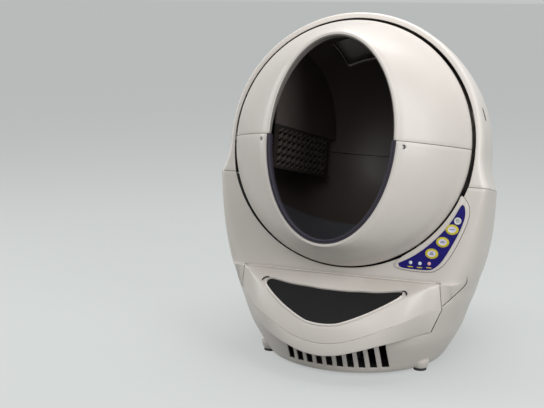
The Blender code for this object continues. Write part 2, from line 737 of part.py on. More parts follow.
def base_form(name, inset, extend):
    """The base's outer form, or its hollow when inset; extend opens it above and below."""
    ridge = row_at(RIDGE_HEIGHT)
    step = FACET_SHAVE / SEAM_HEIGHT
    lower = [row for row in level_shares if row[0] < ridge[0] - step * 2]
    upper = [row for row in level_shares if row[0] > ridge[0] + step]
    rows = [base_level(row, inset, False) for row in lower]
    under = (ridge[0] - step, *ridge[1:])
    rows.append(base_level(under, inset, False))
    rows.append(base_level(ridge, inset, True))
    rows += [base_level(row, inset, True) for row in upper]
    top = rows[-1]
    if extend:
        lift = Vector((0.0, OVERRUN * math.sin(TILT), OVERRUN * math.cos(TILT)))
        rows.append([Vector(point) + lift for point in top])
        rows.insert(0, [Vector(point) - Vector((0.0, 0.0, OVERRUN)) for point in rows[0]])
    obj = loft(name, rows, base_frame)
    return combine(obj, front_cutter(inset))


def front_marks(x):
    """The step's lower edge, the crease and the bottom edge at x, each as (y, z)."""
    share = abs(x) / DRAWER_WIDEST
    rows = front_shares
    near, far = next((a, b) for a, b in zip(rows, rows[1:]) if share <= b[0] or b is rows[-1])
    part = min((share - near[0]) / (far[0] - near[0]), 1.0)
    row = [mix(one, two, part) for one, two in zip(near, far)]
    pairs = zip(row[1::2], row[2::2])
    return [(RIDGE_Y - reach * STEP_REACH, rise * RIDGE_HEIGHT) for reach, rise in pairs]


def front_places(limit):
    """Where the front's sections stand, from right to left."""
    right = [row[0] * DRAWER_WIDEST for row in front_shares if row[0] * DRAWER_WIDEST <= limit + FIT]
    return [-x for x in reversed(right[1:])] + right


def front_cutter(inset):
    """What is cut away in front of the step and of the band below it."""
    rings = []
    far = -POD_LENGTH
    top = RIDGE_HEIGHT + OVERRUN / 2
    start = RIDGE_Y - FACET_SHAVE + inset
    for x in front_places(POD_HALF_WIDTH):
        edge, crease, _ = front_marks(x)
        points = [(start, top), (start, RIDGE_HEIGHT - FACET_SHAVE), (edge[0] + inset, edge[1]),
                  (crease[0] + inset, crease[1]), (far, crease[1]), (far, top)]
        rings.append([(x, y, z) for y, z in points])
    return loft("front_cutter", rings, base_frame)


def drawer_edge(x):
    """Height of the drawer's lower edge at a distance from the middle."""
    return front_marks(x)[2][1]


def drawer_outline(grow):
    """The drawer front seen from the front, grown by a gap."""
    right = [(DRAWER_HALF_WIDTH + grow, RIDGE_HEIGHT + grow),
             (DRAWER_WIDEST + grow, DRAWER_WIDEST_HEIGHT)]
    lower = []
    for index in range(13):
        x = mix(DRAWER_LOW_HALF, -DRAWER_LOW_HALF, index / 12)
        side = (x > 0) - (x < 0)
        lower.append((x + grow * side, drawer_edge(x) - grow))
    left = [(-x, z) for x, z in reversed(right)]
    return right + lower + left


def vent_cutters():
    """The row of slots under the drawer, their tops following the drawer's edge."""
    cutters = []
    for index in range(VENT_COUNT):
        x = VENT_SHIFT + (index - (VENT_COUNT - 1) / 2) * VENT_PITCH
        low = (x - VENT_WIDTH / 2, -POD_HALF_WIDTH, VENT_FOOT)
        high = (x + VENT_WIDTH / 2, -DRAWER_BACK, drawer_edge(x) - VENT_MARGIN)
        cutters.append(block("vent", low, high, base_frame))
    return merge_meshes("vents", cutters)


def scaled(shares, size=BORE_RADIUS):
    """An outline given as shares of a size."""
    return [(x * size, z * size) for x, z in shares]


def grown(outline, gap):
    """An outline moved outwards by a gap."""
    count = len(outline)
    area = sum(outline[i][0] * outline[(i + 1) % count][1] - outline[(i + 1) % count][0] * outline[i][1]
               for i in range(count))
    turn = 1 if area > 0 else -1
    points = []
    for index, (x, z) in enumerate(outline):
        before = Vector(outline[index - 1])
        after = Vector(outline[(index + 1) % count])
        run = (after - before).normalized()
        points.append((x + turn * run.y * gap, z - turn * run.x * gap))
    return points


def foot_boss(x, y):
    """A moulded foot that stands out of the base's lower edge, wider at its top."""
    rings = []
    for height, grow in ((FOOT_LIFT, -FOOT_TAPER), (FOOT_HEIGHT, 0.0)):
        reach = FOOT_HALF + grow
        corners = circle_points(reach, reach, 12, centre=(x, y))
        rings.append([(px, py, height) for px, py in corners])
    return loft("foot_boss", rings, base_frame)


def foot_places():
    """Where the four feet stand, inside the wall at their own height."""
    half = POD_HALF_WIDTH * row_at(FOOT_HEIGHT)[1]
    rear_x = half - FOOT_REAR_SIDE
    rear_y = base_back_at(rear_x, FOOT_HEIGHT) - FOOT_REAR_MARGIN
    places = {}
    for side, word in ((-1, "left"), (1, "right")):
        places["front_" + word] = (side * (half - FOOT_FRONT_SIDE), FOOT_FRONT)
        places["rear_" + word] = (side * rear_x, rear_y)
    return places


def build_base_shell():
    """The outer wall of the base with its step opening, vents and panel window."""
    base = base_form("base_shell", 0.0, False)
    wide = POD_HALF_WIDTH + OVERRUN
    deep = POD_LENGTH + OVERRUN
    cap_low = (-wide, -OVERRUN, -SEAM_DROP - SEAM_GAP / 2)
    cap = block("cap", cap_low, (wide, deep, OVERRUN), axis_frame)
    combine(base, cap)
    combine(base, base_form("hollow", SHELL_WALL, True))
    for x, y in foot_places().values():
        combine(base, foot_boss(x, y), "UNION")
    bore = circle_points(BASE_BORE_ACROSS, BASE_BORE_DOWN, 60)
    combine(base, prism("bore", bore, -OVERRUN * 4, SHELL_WALL * 2, axis_frame))
    outline = drawer_outline(PANEL_GAP)
    combine(base, prism("bay", outline, -POD_HALF_WIDTH, -DRAWER_BACK + OVERRUN / 2, base_frame))
    combine(base, vent_cutters())
    window = grown(scaled(bezel_outline_shares), FIT)
    combine(base, prism("window", window, -OVERRUN, SHELL_WALL * 3, axis_frame))
    spot = (INLET_X, INLET_HEIGHT)
    face = base_back_at(*spot) + INLET_BOSS_PROUD
    combine(base, rod("boss", INLET_BOSS, face - INLET_BOSS, face, base_frame, spot), "UNION")
    combine(base, rod("hole", INLET_RADIUS + FIT, 0.0, POD_LENGTH, base_frame, spot))
    for side in (-1, 1):
        start = KNUCKLE_HALF + KNUCKLE_GAP
        ends = sorted((side * start, side * (start + KNUCKLE_SIDE)))
        ear = knuckle("ear", ends[0], ends[1], -SEAM_DROP - KNUCKLE_TAB, -SEAM_DROP - SEAM_GAP)
        combine(base, ear, "UNION")
    combine(base, hinge_bore("bore", HINGE_PIN_RADIUS + FIT, POD_HALF_WIDTH))
    half = KNUCKLE_HALF + KNUCKLE_GAP
    relief_low = (-half, POD_LENGTH - SHELL_WALL * 2, -SEAM_DROP - KNUCKLE_RADIUS - KNUCKLE_GAP)
    relief_high = (half, HINGE_DEPTH * 2, 0.0)
    combine(base, block("relief", relief_low, relief_high, axis_frame))
    finish(base, BEIGE)


def build_hinge_pin():
    """The steel pin through the rear hinge."""
    half = KNUCKLE_HALF + KNUCKLE_GAP + KNUCKLE_SIDE
    pin = hinge_bore("hinge_pin", HINGE_PIN_RADIUS, half)
    finish(pin, STEEL)


def build_floor():
    """The plate that closes the base below."""
    under = FLOOR_LEVEL + FOOT_LIFT
    outline = base_level(row_at(under), SHELL_WALL + FIT * 2, False)
    rings = [[(x, y, height) for x, y, _ in outline] for height in (under, under + FLOOR_THICK)]
    plate = loft("floor_plate", rings, base_frame)
    for x, y in foot_places().values():
        hole = slab("hole", circle_points(FOOT_HALF + FIT * 2, FOOT_HALF + FIT * 2, 20, centre=(x, y)),
                    0.0, OVERRUN, base_frame)
        combine(plate, hole)
    finish(plate, CHARCOAL)


def build_feet():
    """Rubber pads under the moulded feet."""
    for word, (x, y) in foot_places().items():
        points = circle_points(FOOT_PAD_RADIUS, FOOT_PAD_RADIUS, 24, centre=(x, y))
        finish(slab("foot_" + word, points, 0.0, FOOT_PAD_THICK, base_frame), RUBBER)


# Deck


def globe_profile_radius(depth):
    """Radius of the globe behind the ring plane."""
    share = min(max(depth / GLOBE_LENGTH, 0.0), 1.0)
    return GLOBE_RADIUS * (1 - share ** GLOBE_POWER) ** (1 / GLOBE_POWER)


def bowl(name, extra, start, end):
    """The cradle's form: follows the globe, then clears the drive ring."""
    profile = [(0.0, start)]
    steps = 7
    for index in range(steps + 1):
        depth = mix(DECK_FRONT, DECK_REAR_START, index / steps)
        profile.append((globe_profile_radius(depth) + DECK_GAP + extra, start if index == 0 else depth))
    profile.append((DECK_REAR_RADIUS + extra, DECK_REAR_START + DECK_GAP))
    profile.append((DECK_REAR_RADIUS + extra, end))
    profile.append((0.0, end))
    return turned(name, profile, axis_frame)


def radial_frame(name, angle):
    """An empty on the globe's axis whose z points out at an angle from straight down."""
    return frame(name, (0.0, 0.0, 0.0), spin=HALF_TURN + angle, parent=axis_frame)


def bracket_block(name, grow, parent):
    """The outer block of a roller bracket, in its radial frame."""
    half = BRACKET_HALF + grow
    depth = ROLLER_FACE / 2 + BRACKET_WALL + DRIVE_GAP + grow
    low = (-half, ROLLER_DEPTH - depth, GLOBE_RADIUS + BRACKET_TOP)
    high = (half, ROLLER_DEPTH + depth, ROLLER_CENTRE + BRACKET_DROP)
    return block(name, low, high, parent)


def pinion_room(name, wall, end):
    """The box-shaped pocket of the deck that the pinion turns in."""
    x, rise = pinion_place()
    reach = PINION_PITCH + TOOTH_MODULE * 2 + wall
    start = GEAR_START - DECK_WALL - wall
    return block(name, (x - reach, start, rise - reach), (x + reach, end, rise + reach), axis_frame)


def build_deck():
    """The cradle between globe and drawer: a bowl, a rim to the base wall and a waste chute."""
    deck = bowl("deck", DECK_WALL, DECK_FRONT, DECK_REAR + DECK_WALL)
    wide = POD_HALF_WIDTH
    top = -SEAM_DROP - SHELL_WALL
    rim_low = (-wide, DECK_FRONT, top - DECK_FLANGE)
    flange = block("rim", rim_low, (wide, POD_LENGTH, top + SHELL_WALL), axis_frame)
    combine(deck, flange, "UNION")
    combine(deck, pinion_room("bulge", DECK_WALL, DECK_REAR + DECK_WALL + FIT), "UNION")
    combine(deck, base_form("limit", SHELL_WALL + DECK_EDGE_GAP, True), "INTERSECT")
    combine(deck, bowl("hollow", 0.0, -OVERRUN, DECK_REAR))
    high = (wide + OVERRUN, POD_LENGTH + OVERRUN, POD_RADIUS)
    combine(deck, block("above", (-wide - OVERRUN, -OVERRUN, top), high, axis_frame))
    chute = block("chute", (-CHUTE_HALF_WIDTH, CHUTE_START, -POD_RADIUS),
                  (CHUTE_HALF_WIDTH, CHUTE_START + CHUTE_LENGTH, -POD_RADIUS / 2), axis_frame)
    combine(deck, chute)
    for angle in (-ROLLER_ANGLE, ROLLER_ANGLE):
        spot = radial_frame("spot", angle)
        combine(deck, bracket_block("hole", FIT, spot))
        bpy.data.objects.remove(spot, do_unlink=True)
    combine(deck, pinion_room("pocket", 0.0, DECK_REAR - FIT))
    back_hole = globe_profile_radius(DECK_REAR) + DECK_GAP
    combine(deck, rod("hole", back_hole, DECK_REAR_START, POD_LENGTH, axis_frame, steps=46))
    reach = DECK_REAR + OVERRUN
    start = DECK_REAR - FIT * 3
    combine(deck, rod("hole", SHAFT_RADIUS + FIT, start, reach, axis_frame, pinion_place()))
    for angle in (-REAR_ROLLER_ANGLE, REAR_ROLLER_ANGLE):
        spot = radial_frame("spot", angle)
        centre = (0.0, REAR_ROLLER_CENTRE)
        combine(deck, rod("hole", AXLE_RADIUS + FIT, start, reach, spot, centre, AXLE_STEPS))
        bpy.data.objects.remove(spot, do_unlink=True)
    finish(deck, CHARCOAL)


# Rollers


def build_rollers():
    """Two front rollers in brackets under the globe and two rear rollers under the track."""
    for side, word in ((-1, "right"), (1, "left")):
        spot = radial_frame("front_" + word + "_radial", side * ROLLER_ANGLE)
        bracket = bracket_block("bracket_" + word, 0.0, spot)
        half = ROLLER_FACE / 2 + DRIVE_GAP
        room = ROLLER_RADIUS + FIT * 4
        pocket = block("pocket", (-room, ROLLER_DEPTH - half, 0.0),
                       (room, ROLLER_DEPTH + half, ROLLER_CENTRE + room), spot)
        combine(bracket, pocket)
        end = half + BRACKET_WALL
        centre = (0.0, ROLLER_CENTRE)
        start = ROLLER_DEPTH - OVERRUN
        hole = rod("hole", AXLE_RADIUS + FIT, start, ROLLER_DEPTH + OVERRUN, spot, centre, AXLE_STEPS)
        combine(bracket, hole)
        finish(bracket, CHARCOAL)
        start = ROLLER_DEPTH - end
        axle = rod("axle_front_" + word, AXLE_RADIUS, start, ROLLER_DEPTH + end, spot, centre, AXLE_STEPS)
        finish(axle, STEEL)
        hub = frame("front_roller_" + word + "_axis", (0.0, ROLLER_DEPTH, ROLLER_CENTRE), parent=spot)
        roller("roller_front_" + word, ROLLER_RADIUS, ROLLER_FACE, hub)
    for side, word in ((-1, "right"), (1, "left")):
        spot = radial_frame("rear_" + word + "_radial", side * REAR_ROLLER_ANGLE)
        centre = (0.0, REAR_ROLLER_CENTRE)
        start = REAR_ROLLER_DEPTH - REAR_ROLLER_FACE / 2
        end = DECK_REAR + DECK_WALL
        axle = rod("axle_rear_" + word, AXLE_RADIUS, start, end, spot, centre, AXLE_STEPS)
        finish(axle, STEEL)
        place = (0.0, REAR_ROLLER_DEPTH, REAR_ROLLER_CENTRE)
        hub = frame("rear_roller_" + word + "_axis", place, parent=spot)
        roller("roller_rear_" + word, REAR_ROLLER_RADIUS, REAR_ROLLER_FACE, hub)


def roller(name, radius, face, parent):
    """A roller with a bore, on its axle."""
    bore = AXLE_RADIUS + FIT
    edge = face / 8
    profile = [(bore, -face / 2), (radius - edge, -face / 2), (radius, -face / 2 + edge),
               (radius, face / 2 - edge), (radius - edge, face / 2), (bore, face / 2)]
    finish(turned(name, profile, parent, 28), NYLON)


# Globe


def globe_point(angle, front_share, inset, lower):
    """A point in front of the ring plane; front_share runs from 0 at the mouth to 1 at the ring."""
    blend = 1 - (1 - front_share) ** GLOBE_FRONT_POWER
    half_width = MOUTH_HALF_WIDTH_LOW if lower else MOUTH_HALF_WIDTH
    height = MOUTH_DROP if lower else MOUTH_RISE
    edge = MOUTH_EDGE - inset * MOUTH_EDGE / GLOBE_WALL if inset <= GLOBE_WALL else GLOBE_WALL - inset
    across = mix(half_width + edge, GLOBE_RADIUS - inset, blend)
    rise = mix(height + edge, GLOBE_RADIUS - inset, blend)
    return (across * math.cos(angle), -MOUTH_FORWARD * (1 - front_share), rise * math.sin(angle))


def globe_back_ring(share, angles, inset):
    """A ring behind the ring plane; share runs from 0 at the ring to 1 at the hub."""
    radius = GLOBE_RADIUS - inset
    length = GLOBE_LENGTH - inset
    limit = math.acos((HUB_RADIUS / GLOBE_RADIUS) ** (GLOBE_POWER / 2))
    turn = limit * share
    along = length * math.sin(turn) ** (2 / GLOBE_POWER)
    out = radius * math.cos(turn) ** (2 / GLOBE_POWER)
    return [(out * math.cos(a), along, out * math.sin(a)) for a in angles]


def half_angles(lower):
    """Angles round half of the globe, from the right seam or the left seam."""
    start = HALF_TURN if lower else 0.0
    return [start + HALF_TURN * index / GLOBE_SEGMENTS for index in range(GLOBE_SEGMENTS + 1)]


def globe_rings(inset, lower, shares):
    """All rings of half a globe at an inset, without its mouth edge."""
    angles = half_angles(lower)
    rings = [[globe_point(a, share, inset, lower) for a in angles] for share in shares]
    rings += [globe_back_ring(share, angles, inset) for share in globe_back_shares]
    lift = -GLOBE_SPLIT / 2 if lower else GLOBE_SPLIT / 2
    return [[(x, y, z + lift) for x, y, z in ring] for ring in rings]


def mouth_ring(lower, grow, depth):
    """A ring round the mouth's edge."""
    half_width = MOUTH_HALF_WIDTH_LOW if lower else MOUTH_HALF_WIDTH
    height = MOUTH_DROP if lower else MOUTH_RISE
    lift = -GLOBE_SPLIT / 2 if lower else GLOBE_SPLIT / 2
    return [((half_width + grow) * math.cos(a), depth, (height + grow) * math.sin(a) + lift)
            for a in half_angles(lower)]


def globe_half(name, lower):
    """One moulded half of the globe, with its thickened mouth edge."""
    outer = [mouth_ring(lower, MOUTH_EDGE - MOUTH_EDGE_ROUND, -MOUTH_FORWARD),
             mouth_ring(lower, MOUTH_EDGE, -MOUTH_FORWARD + MOUTH_EDGE_ROUND)]
    outer += globe_rings(0.0, lower, globe_front_shares)
    inner = [mouth_ring(lower, 0.0, -MOUTH_FORWARD),
             mouth_ring(lower, MOUTH_EDGE / 8, -MOUTH_FORWARD + MOUTH_EDGE_ROUND)]
    inner += globe_rings(GLOBE_WALL, lower, globe_front_shares)
    return open_shell(name, outer, inner, axis_frame)


def lining_half(name, lower):
    """The dark inner lining of one half."""
    near = GLOBE_WALL + FIT
    outer = globe_rings(near, lower, globe_front_shares)
    inner = globe_rings(near + LINING_WALL, lower, globe_front_shares)
    return open_shell(name, outer, inner, axis_frame)


def port_cutter(grow, low):
    """The waste port's opening, cut from above."""
    corner = (PORT_LOW_X - grow, PORT_START - grow, low)
    far = (PORT_HIGH_X + grow, PORT_END + grow, GLOBE_RADIUS + OVERRUN)
    return block("port", corner, far, axis_frame)


def screw_seat(name, side, radius, thick, sink):
    """A small flat screw head square to the globe's front, beside the mouth."""
    head = rod(name, radius, -thick, sink, axis_frame, steps=16)
    head.data.transform(Matrix.Rotation(side * GLOBE_SCREW_LEAN, 4, "Z"))
    place = (side * GLOBE_SCREW_X, GLOBE_SCREW_DEPTH, GLOBE_SCREW_RISE)
    head.data.transform(Matrix.Translation(place))
    return head


def build_globe():
    """Both halves of the globe, their lining, the waste port's frame and the hub."""
    upper = globe_half("globe_upper", False)
    combine(upper, port_cutter(0.0, 0.0))
    finish(upper, BEIGE)
    lower = globe_half("globe_lower", True)
    for side in (-1, 1):
        cutter = screw_seat("seat", side, GLOBE_SCREW_RADIUS + FIT, OVERRUN, GLOBE_SCREW_THICK)
        combine(lower, cutter)
    finish(lower, BEIGE)
    for side, word in ((-1, "left"), (1, "right")):
        head = screw_seat("globe_screw_" + word, side, GLOBE_SCREW_RADIUS, 0.0, GLOBE_SCREW_THICK - FIT)
        finish(head, STEEL)
    lining = lining_half("lining_upper", False)
    combine(lining, port_cutter(0.0, 0.0))
    finish(lining, CHARCOAL)
    finish(lining_half("lining_lower", True), CHARCOAL)
    build_port_frame()
    hub_share = (GLOBE_RADIUS - GLOBE_WALL - LINING_WALL - FIT) / GLOBE_RADIUS
    plug = HUB_RADIUS * hub_share - FIT * 2
    front = GLOBE_LENGTH - HUB_DEPTH
    seat = GLOBE_LENGTH + FIT
    back = seat + HUB_FLANGE_THICK
    profile = [(0.0, front), (plug, front), (plug, seat)]
    profile += [(HUB_FLANGE, seat), (HUB_FLANGE, back), (0.0, back)]
    finish(turned("globe_hub", profile, axis_frame, 24), CHARCOAL)


def build_port_frame():
    """The raised seal round the waste port, lying on the globe."""
    frame_solid = turned("port_seal", globe_skin(PORT_PROUD, FIT), axis_frame, 64)
    combine(frame_solid, port_cutter(PORT_FRAME, 0.0), "INTERSECT")
    combine(frame_solid, port_cutter(0.0, 0.0))
    finish(frame_solid, RUBBER)


def globe_skin(thick, gap):
    """A ring profile that lies on the globe over the port's length."""
    outer, inner = [], []
    steps = 8
    for index in range(steps + 1):
        depth = mix(PORT_START - PORT_FRAME * 2, PORT_END + PORT_FRAME * 2, index / steps)
        inner.append((globe_profile_radius(depth) + gap * 2, depth))
        outer.append((globe_profile_radius(depth) + gap * 2 + thick, depth))
    return inner + outer[::-1]


def build_lip():
    """The rubber lip on the lower half of the mouth."""
    rings = []
    outside = [(-LIP_WIDTH * grow, -LIP_PROUD * rise) for grow, rise in lip_front_shares]
    inside = [(-LIP_WIDTH * grow, LIP_DEPTH * run) for grow, run in lip_back_shares]
    section = outside + [(-FIT, -LIP_PROUD / 2), (-FIT, LIP_DEPTH * LIP_HOLD_SHARE)] + inside
    for angle in half_angles(True):
        ring = []
        for grow, depth in section:
            x = (MOUTH_HALF_WIDTH_LOW + grow) * math.cos(angle)
            z = (MOUTH_DROP + grow) * math.sin(angle) - GLOBE_SPLIT / 2
            ring.append((x, depth - MOUTH_FORWARD, z))
        rings.append(ring)
    finish(loft("entry_lip", rings, axis_frame), RUBBER)


# Screen


def cabin_form(name, inset):
    """The inside of the lined globe as a solid, to clip what stands in it."""
    rings = []
    for share in globe_front_shares:
        ring = []
        for lower in (False, True):
            for angle in half_angles(lower)[:-1]:
                ring.append(globe_point(angle, share, inset, lower))
        rings.append(ring)
    for share in globe_back_shares:
        angles = half_angles(False)[:-1] + half_angles(True)[:-1]
        rings.append(globe_back_ring(share, angles, inset))
    return loft(name, rings, axis_frame)


def slot_cutters():
    """Rows of short slanted slots through the screen."""
    cutters = []
    span = SCREEN_END - SCREEN_START - SCREEN_FRAME * 4
    height = SCREEN_HEAD - SCREEN_FOOT - SCREEN_FRAME * 2
    for row in range(SLOT_ROWS):
        for column in range(SLOT_COLUMNS):
            depth = SCREEN_START + SCREEN_FRAME * 2 + span * (column * 2 + 1) / SLOT_COLUMNS / 2
            rise = SCREEN_FOOT + SCREEN_FRAME + height * (row * 2 + 1) / SLOT_ROWS / 2
            rise_step = math.tan(SLOT_LEAN) * SLOT_LENGTH / 2
            half = SLOT_LENGTH / 2
            tall = SLOT_HEIGHT / 2
            corners = [(depth - half, rise - rise_step - tall), (depth + half, rise + rise_step - tall),
                       (depth + half, rise + rise_step + tall), (depth - half, rise - rise_step + tall)]
            bm = bmesh.new()
            near, far = SCREEN_X - OVERRUN / 2, SCREEN_X + OVERRUN / 2
            grid(bm, [[(near, y, z) for y, z in corners], [(far, y, z) for y, z in corners]], True)
            bm.verts.ensure_lookup_table()
            bm.faces.new(bm.verts[:4])
            bm.faces.new(bm.verts[4:])
            cutters.append(to_object("slot", bm, axis_frame))
    return merge_meshes("slots", cutters)


def build_screen():
    """The slotted sifting screen and the solid wall above it, set across the left of the cabin."""
    inset = GLOBE_WALL + FIT + LINING_WALL + FIT
    half = SCREEN_THICK / 2
    screen = block("sifting_screen", (SCREEN_X - half, SCREEN_START, SCREEN_FOOT),
                   (SCREEN_X + half, SCREEN_END, SCREEN_HEAD - FIT), axis_frame)
    lip = block("lip", (SCREEN_X - half, SCREEN_START, SCREEN_FOOT),
                (SCREEN_X + SCREEN_LIP, SCREEN_END, SCREEN_FOOT + SCREEN_THICK), axis_frame)
    combine(screen, lip, "UNION")
    combine(screen, slot_cutters())
    combine(screen, cabin_form("limit", inset), "INTERSECT")
    finish(screen, CHARCOAL)
    wall = block("screen_wall", (SCREEN_X - half, SCREEN_START, SCREEN_HEAD),
                 (SCREEN_X + half, GLOBE_LENGTH, GLOBE_RADIUS), axis_frame)
    combine(wall, cabin_form("limit", inset), "INTERSECT")
    finish(wall, CHARCOAL)


# Drive


def gear_outline(teeth, root, tip, thin):
    """A toothed outline with straight-sided teeth; thin narrows each tooth for backlash."""
    points = []
    pitch = FULL_TURN / teeth
    for index in range(teeth):
        middle = index * pitch
        flank = ((TOOTH_TIP_SHARE, tip), (TOOTH_ROOT_SHARE, root))
        marks = [(-share, radius) for share, radius in reversed(flank)] + list(flank)
        for share, radius in marks:
            angle = middle + share * pitch - math.copysign(thin / radius / 2, share)
            points.append((radius * math.cos(angle), radius * math.sin(angle)))
    return points


def build_drive_ring():
    """The toothed ring on the back of the globe, with a smooth track for the rear rollers."""
    root = PITCH_RADIUS - DEDENDUM * TOOTH_MODULE
    tip = PITCH_RADIUS + ADDENDUM * TOOTH_MODULE
    teeth = gear_outline(RING_TEETH, root, tip, BACKLASH)
    ring = prism("drive_ring", teeth, GEAR_START, TRACK_START, axis_frame)
    track = rod("track", TRACK_RADIUS, TRACK_START - FIT, TRACK_START + TRACK_FACE, axis_frame, steps=80)
    combine(ring, track, "UNION")
    steps = 10
    profile = [(0.0, GEAR_START - OVERRUN)]
    for index in range(steps + 1):
        depth = mix(GEAR_START - OVERRUN, TRACK_START + TRACK_FACE + OVERRUN / 2, index / steps)
        profile.append((globe_profile_radius(depth) + FIT * 2, depth))
    profile.append((0.0, profile[-1][1]))
    combine(ring, turned("seat", profile, axis_frame, 2 * GLOBE_SEGMENTS))
    finish(ring, BLACK)


def pinion_place():
    """Where the pinion's axis stands, across and up."""
    return PINION_CENTRE * math.cos(PINION_ANGLE), PINION_CENTRE * math.sin(PINION_ANGLE)


def build_drive():
    """Pinion, shaft, gearbox and motor."""
    x, rise = pinion_place()
    hub = frame("pinion_axis", (x, GEAR_START, rise), parent=axis_frame)
    root = PINION_PITCH - DEDENDUM * TOOTH_MODULE
    tip = PINION_PITCH + ADDENDUM * TOOTH_MODULE
    pinion = prism("drive_pinion", gear_outline(PINION_TEETH, root, tip, BACKLASH), 0.0, GEAR_FACE, hub)
    ring_phase = PINION_ANGLE / (FULL_TURN / RING_TEETH)
    ring_offset = (ring_phase - round(ring_phase)) * FULL_TURN / RING_TEETH
    spin = PINION_ANGLE + HALF_TURN + FULL_TURN / PINION_TEETH / 2 + ring_offset * RING_TEETH / PINION_TEETH
    pinion.data.transform(Matrix.Rotation(-spin, 4, "Y"))
    combine(pinion, rod("hole", SHAFT_RADIUS, -OVERRUN, OVERRUN, hub))
    shaft_end = DECK_REAR + DECK_WALL - GEAR_START
    shaft = rod("shaft", SHAFT_RADIUS - FIT, -FIT, shaft_end, hub)
    finish(pinion, NYLON)
    shaft.name = "motor_shaft"
    finish(shaft, STEEL)
    start = DECK_REAR + DECK_WALL + FIT * 2
    gearbox = block("gearbox", (x - GEARBOX_WIDTH / 2, start, rise - GEARBOX_HEIGHT / 2),
                    (x + GEARBOX_WIDTH / 2, start + GEARBOX_THICK, rise + GEARBOX_HEIGHT / 2), axis_frame)
    bevel = gearbox.modifiers.new("bevel", "BEVEL")
    bevel.width = SHELL_WALL
    bevel.segments = 2
    finish(gearbox, STEEL)
    motor = rod("motor", MOTOR_RADIUS, start + GEARBOX_THICK + FIT, start + GEARBOX_THICK + MOTOR_LENGTH,
                axis_frame, centre=(x, rise), steps=28)
    finish(motor, STEEL)


# Drawer


def bin_outline(inset):
    """The bin's section seen from the front."""
    right = [(BIN_HALF_TOP - inset, BIN_TOP), (BIN_HALF_SHOULDER - inset, BIN_SHOULDER + inset / 2),
             (BIN_HALF_BOTTOM - inset / 2, BIN_BOTTOM + inset)]
    left = [(-x, z) for x, z in reversed(right)]
    return right + left


def build_drawer():
    """The waste drawer: moulded front, rubber step pad, bin and carbon filter."""
    front = front_solid("drawer_front", 0.0, 0.0, 0.0, -DRAWER_BACK)
    shape = prism("shape", drawer_outline(-FIT), -POD_HALF_WIDTH, -DRAWER_BACK + OVERRUN, base_frame)
    combine(front, shape, "INTERSECT")
    hollow = front_solid("hollow", FRONT_SKIN, STEP_SKIN, DRAWER_SOLE, OVERRUN)
    room = prism("room", drawer_outline(-FRONT_SKIN), -POD_HALF_WIDTH, OVERRUN, base_frame)
    combine(hollow, room, "INTERSECT")
    combine(front, hollow)
    combine(front, pad_solid("pocket", FIT, -PAD_POCKET, OVERRUN))
    finish(front, BEIGE)
    pad = pad_solid("step_pad", 0.0, -PAD_POCKET + FIT, -PAD_POCKET + FIT + PAD_THICK)
    finish(pad, RUBBER)
    bin_solid = prism("waste_bin", bin_outline(0.0), BIN_FRONT, BIN_BACK, base_frame)
    cavity = bin_outline(BIN_WALL)
    cavity = [(x, z + OVERRUN if z == BIN_TOP else z) for x, z in cavity]
    combine(bin_solid, prism("cavity", cavity, BIN_FRONT + BIN_WALL, BIN_BACK - BIN_WALL, base_frame))
    finish(bin_solid, CHARCOAL)
    build_filter()


def front_solid(name, skin, step_skin, sole, back):
    """The drawer front's form: step, band and underside, thinned inwards for its hollow."""
    rings = []
    for x in front_places(DRAWER_WIDEST + OVERRUN / 2):
        edge, crease, bottom = front_marks(x)
        points = [(RIDGE_Y + skin, RIDGE_HEIGHT - step_skin - FIT), (edge[0] + skin, edge[1] - step_skin),
                  (crease[0] + skin, crease[1] - skin / 4), (bottom[0] + skin, bottom[1] + sole),
                  (back, bottom[1] + sole), (back, RIDGE_HEIGHT - step_skin - FIT)]
        rings.append([(x, y, z) for y, z in points])
    return loft(name, rings, base_frame)


def step_point(x, share, rise):
    """A point on the sloping step, lifted square to it by a rise."""
    edge = front_marks(x)[0]
    slope = Vector((0.0, edge[0] - RIDGE_Y, edge[1] - RIDGE_HEIGHT))
    start = Vector((x, RIDGE_Y, RIDGE_HEIGHT))
    normal = Vector((0.0, slope.z, -slope.y)).normalized()
    return start + slope * share + normal * rise


def pad_solid(name, grow, low, high):
    """The smile-shaped pad between two heights over the step."""
    rows = [(-row[0], *row[1:]) for row in reversed(pad_shares[1:])] + list(pad_shares)
    rings = []
    for place, upper, lower in rows:
        x = place * (PAD_HALF_WIDTH + grow)
        length = math.hypot(front_marks(x)[0][0] - RIDGE_Y, front_marks(x)[0][1] - RIDGE_HEIGHT)
        more = grow / length
        ring = [step_point(x, upper - more, low), step_point(x, lower + more, low)]
        ring += [step_point(x, lower + more, high), step_point(x, upper - more, high)]
        rings.append(ring)
    return loft(name, rings, base_frame)


def build_filter():
    """The carbon filter in its holder on the bin's front wall."""
    middle = (BIN_SHOULDER + BIN_TOP) / 2
    start = BIN_FRONT + BIN_WALL + FIT
    half = FILTER_WIDTH / 2
    tall = FILTER_HEIGHT / 2
    carbon = block("carbon_filter", (-half, start + FIT, middle - tall),
                   (half, start + FILTER_THICK, middle + tall), base_frame)
    finish(carbon, BLACK)
    edge = FILTER_FRAME
    holder = block("filter_holder", (-half - edge, start, middle - tall - edge),
                   (half + edge, start + FILTER_THICK + FIT, middle + tall + edge), base_frame)
    gap = FIT
    combine(holder, block("hole", (-half - gap, start - OVERRUN, middle - tall - gap),
                          (half + gap, start + OVERRUN, middle + tall + gap), base_frame))
    finish(holder, CHARCOAL)


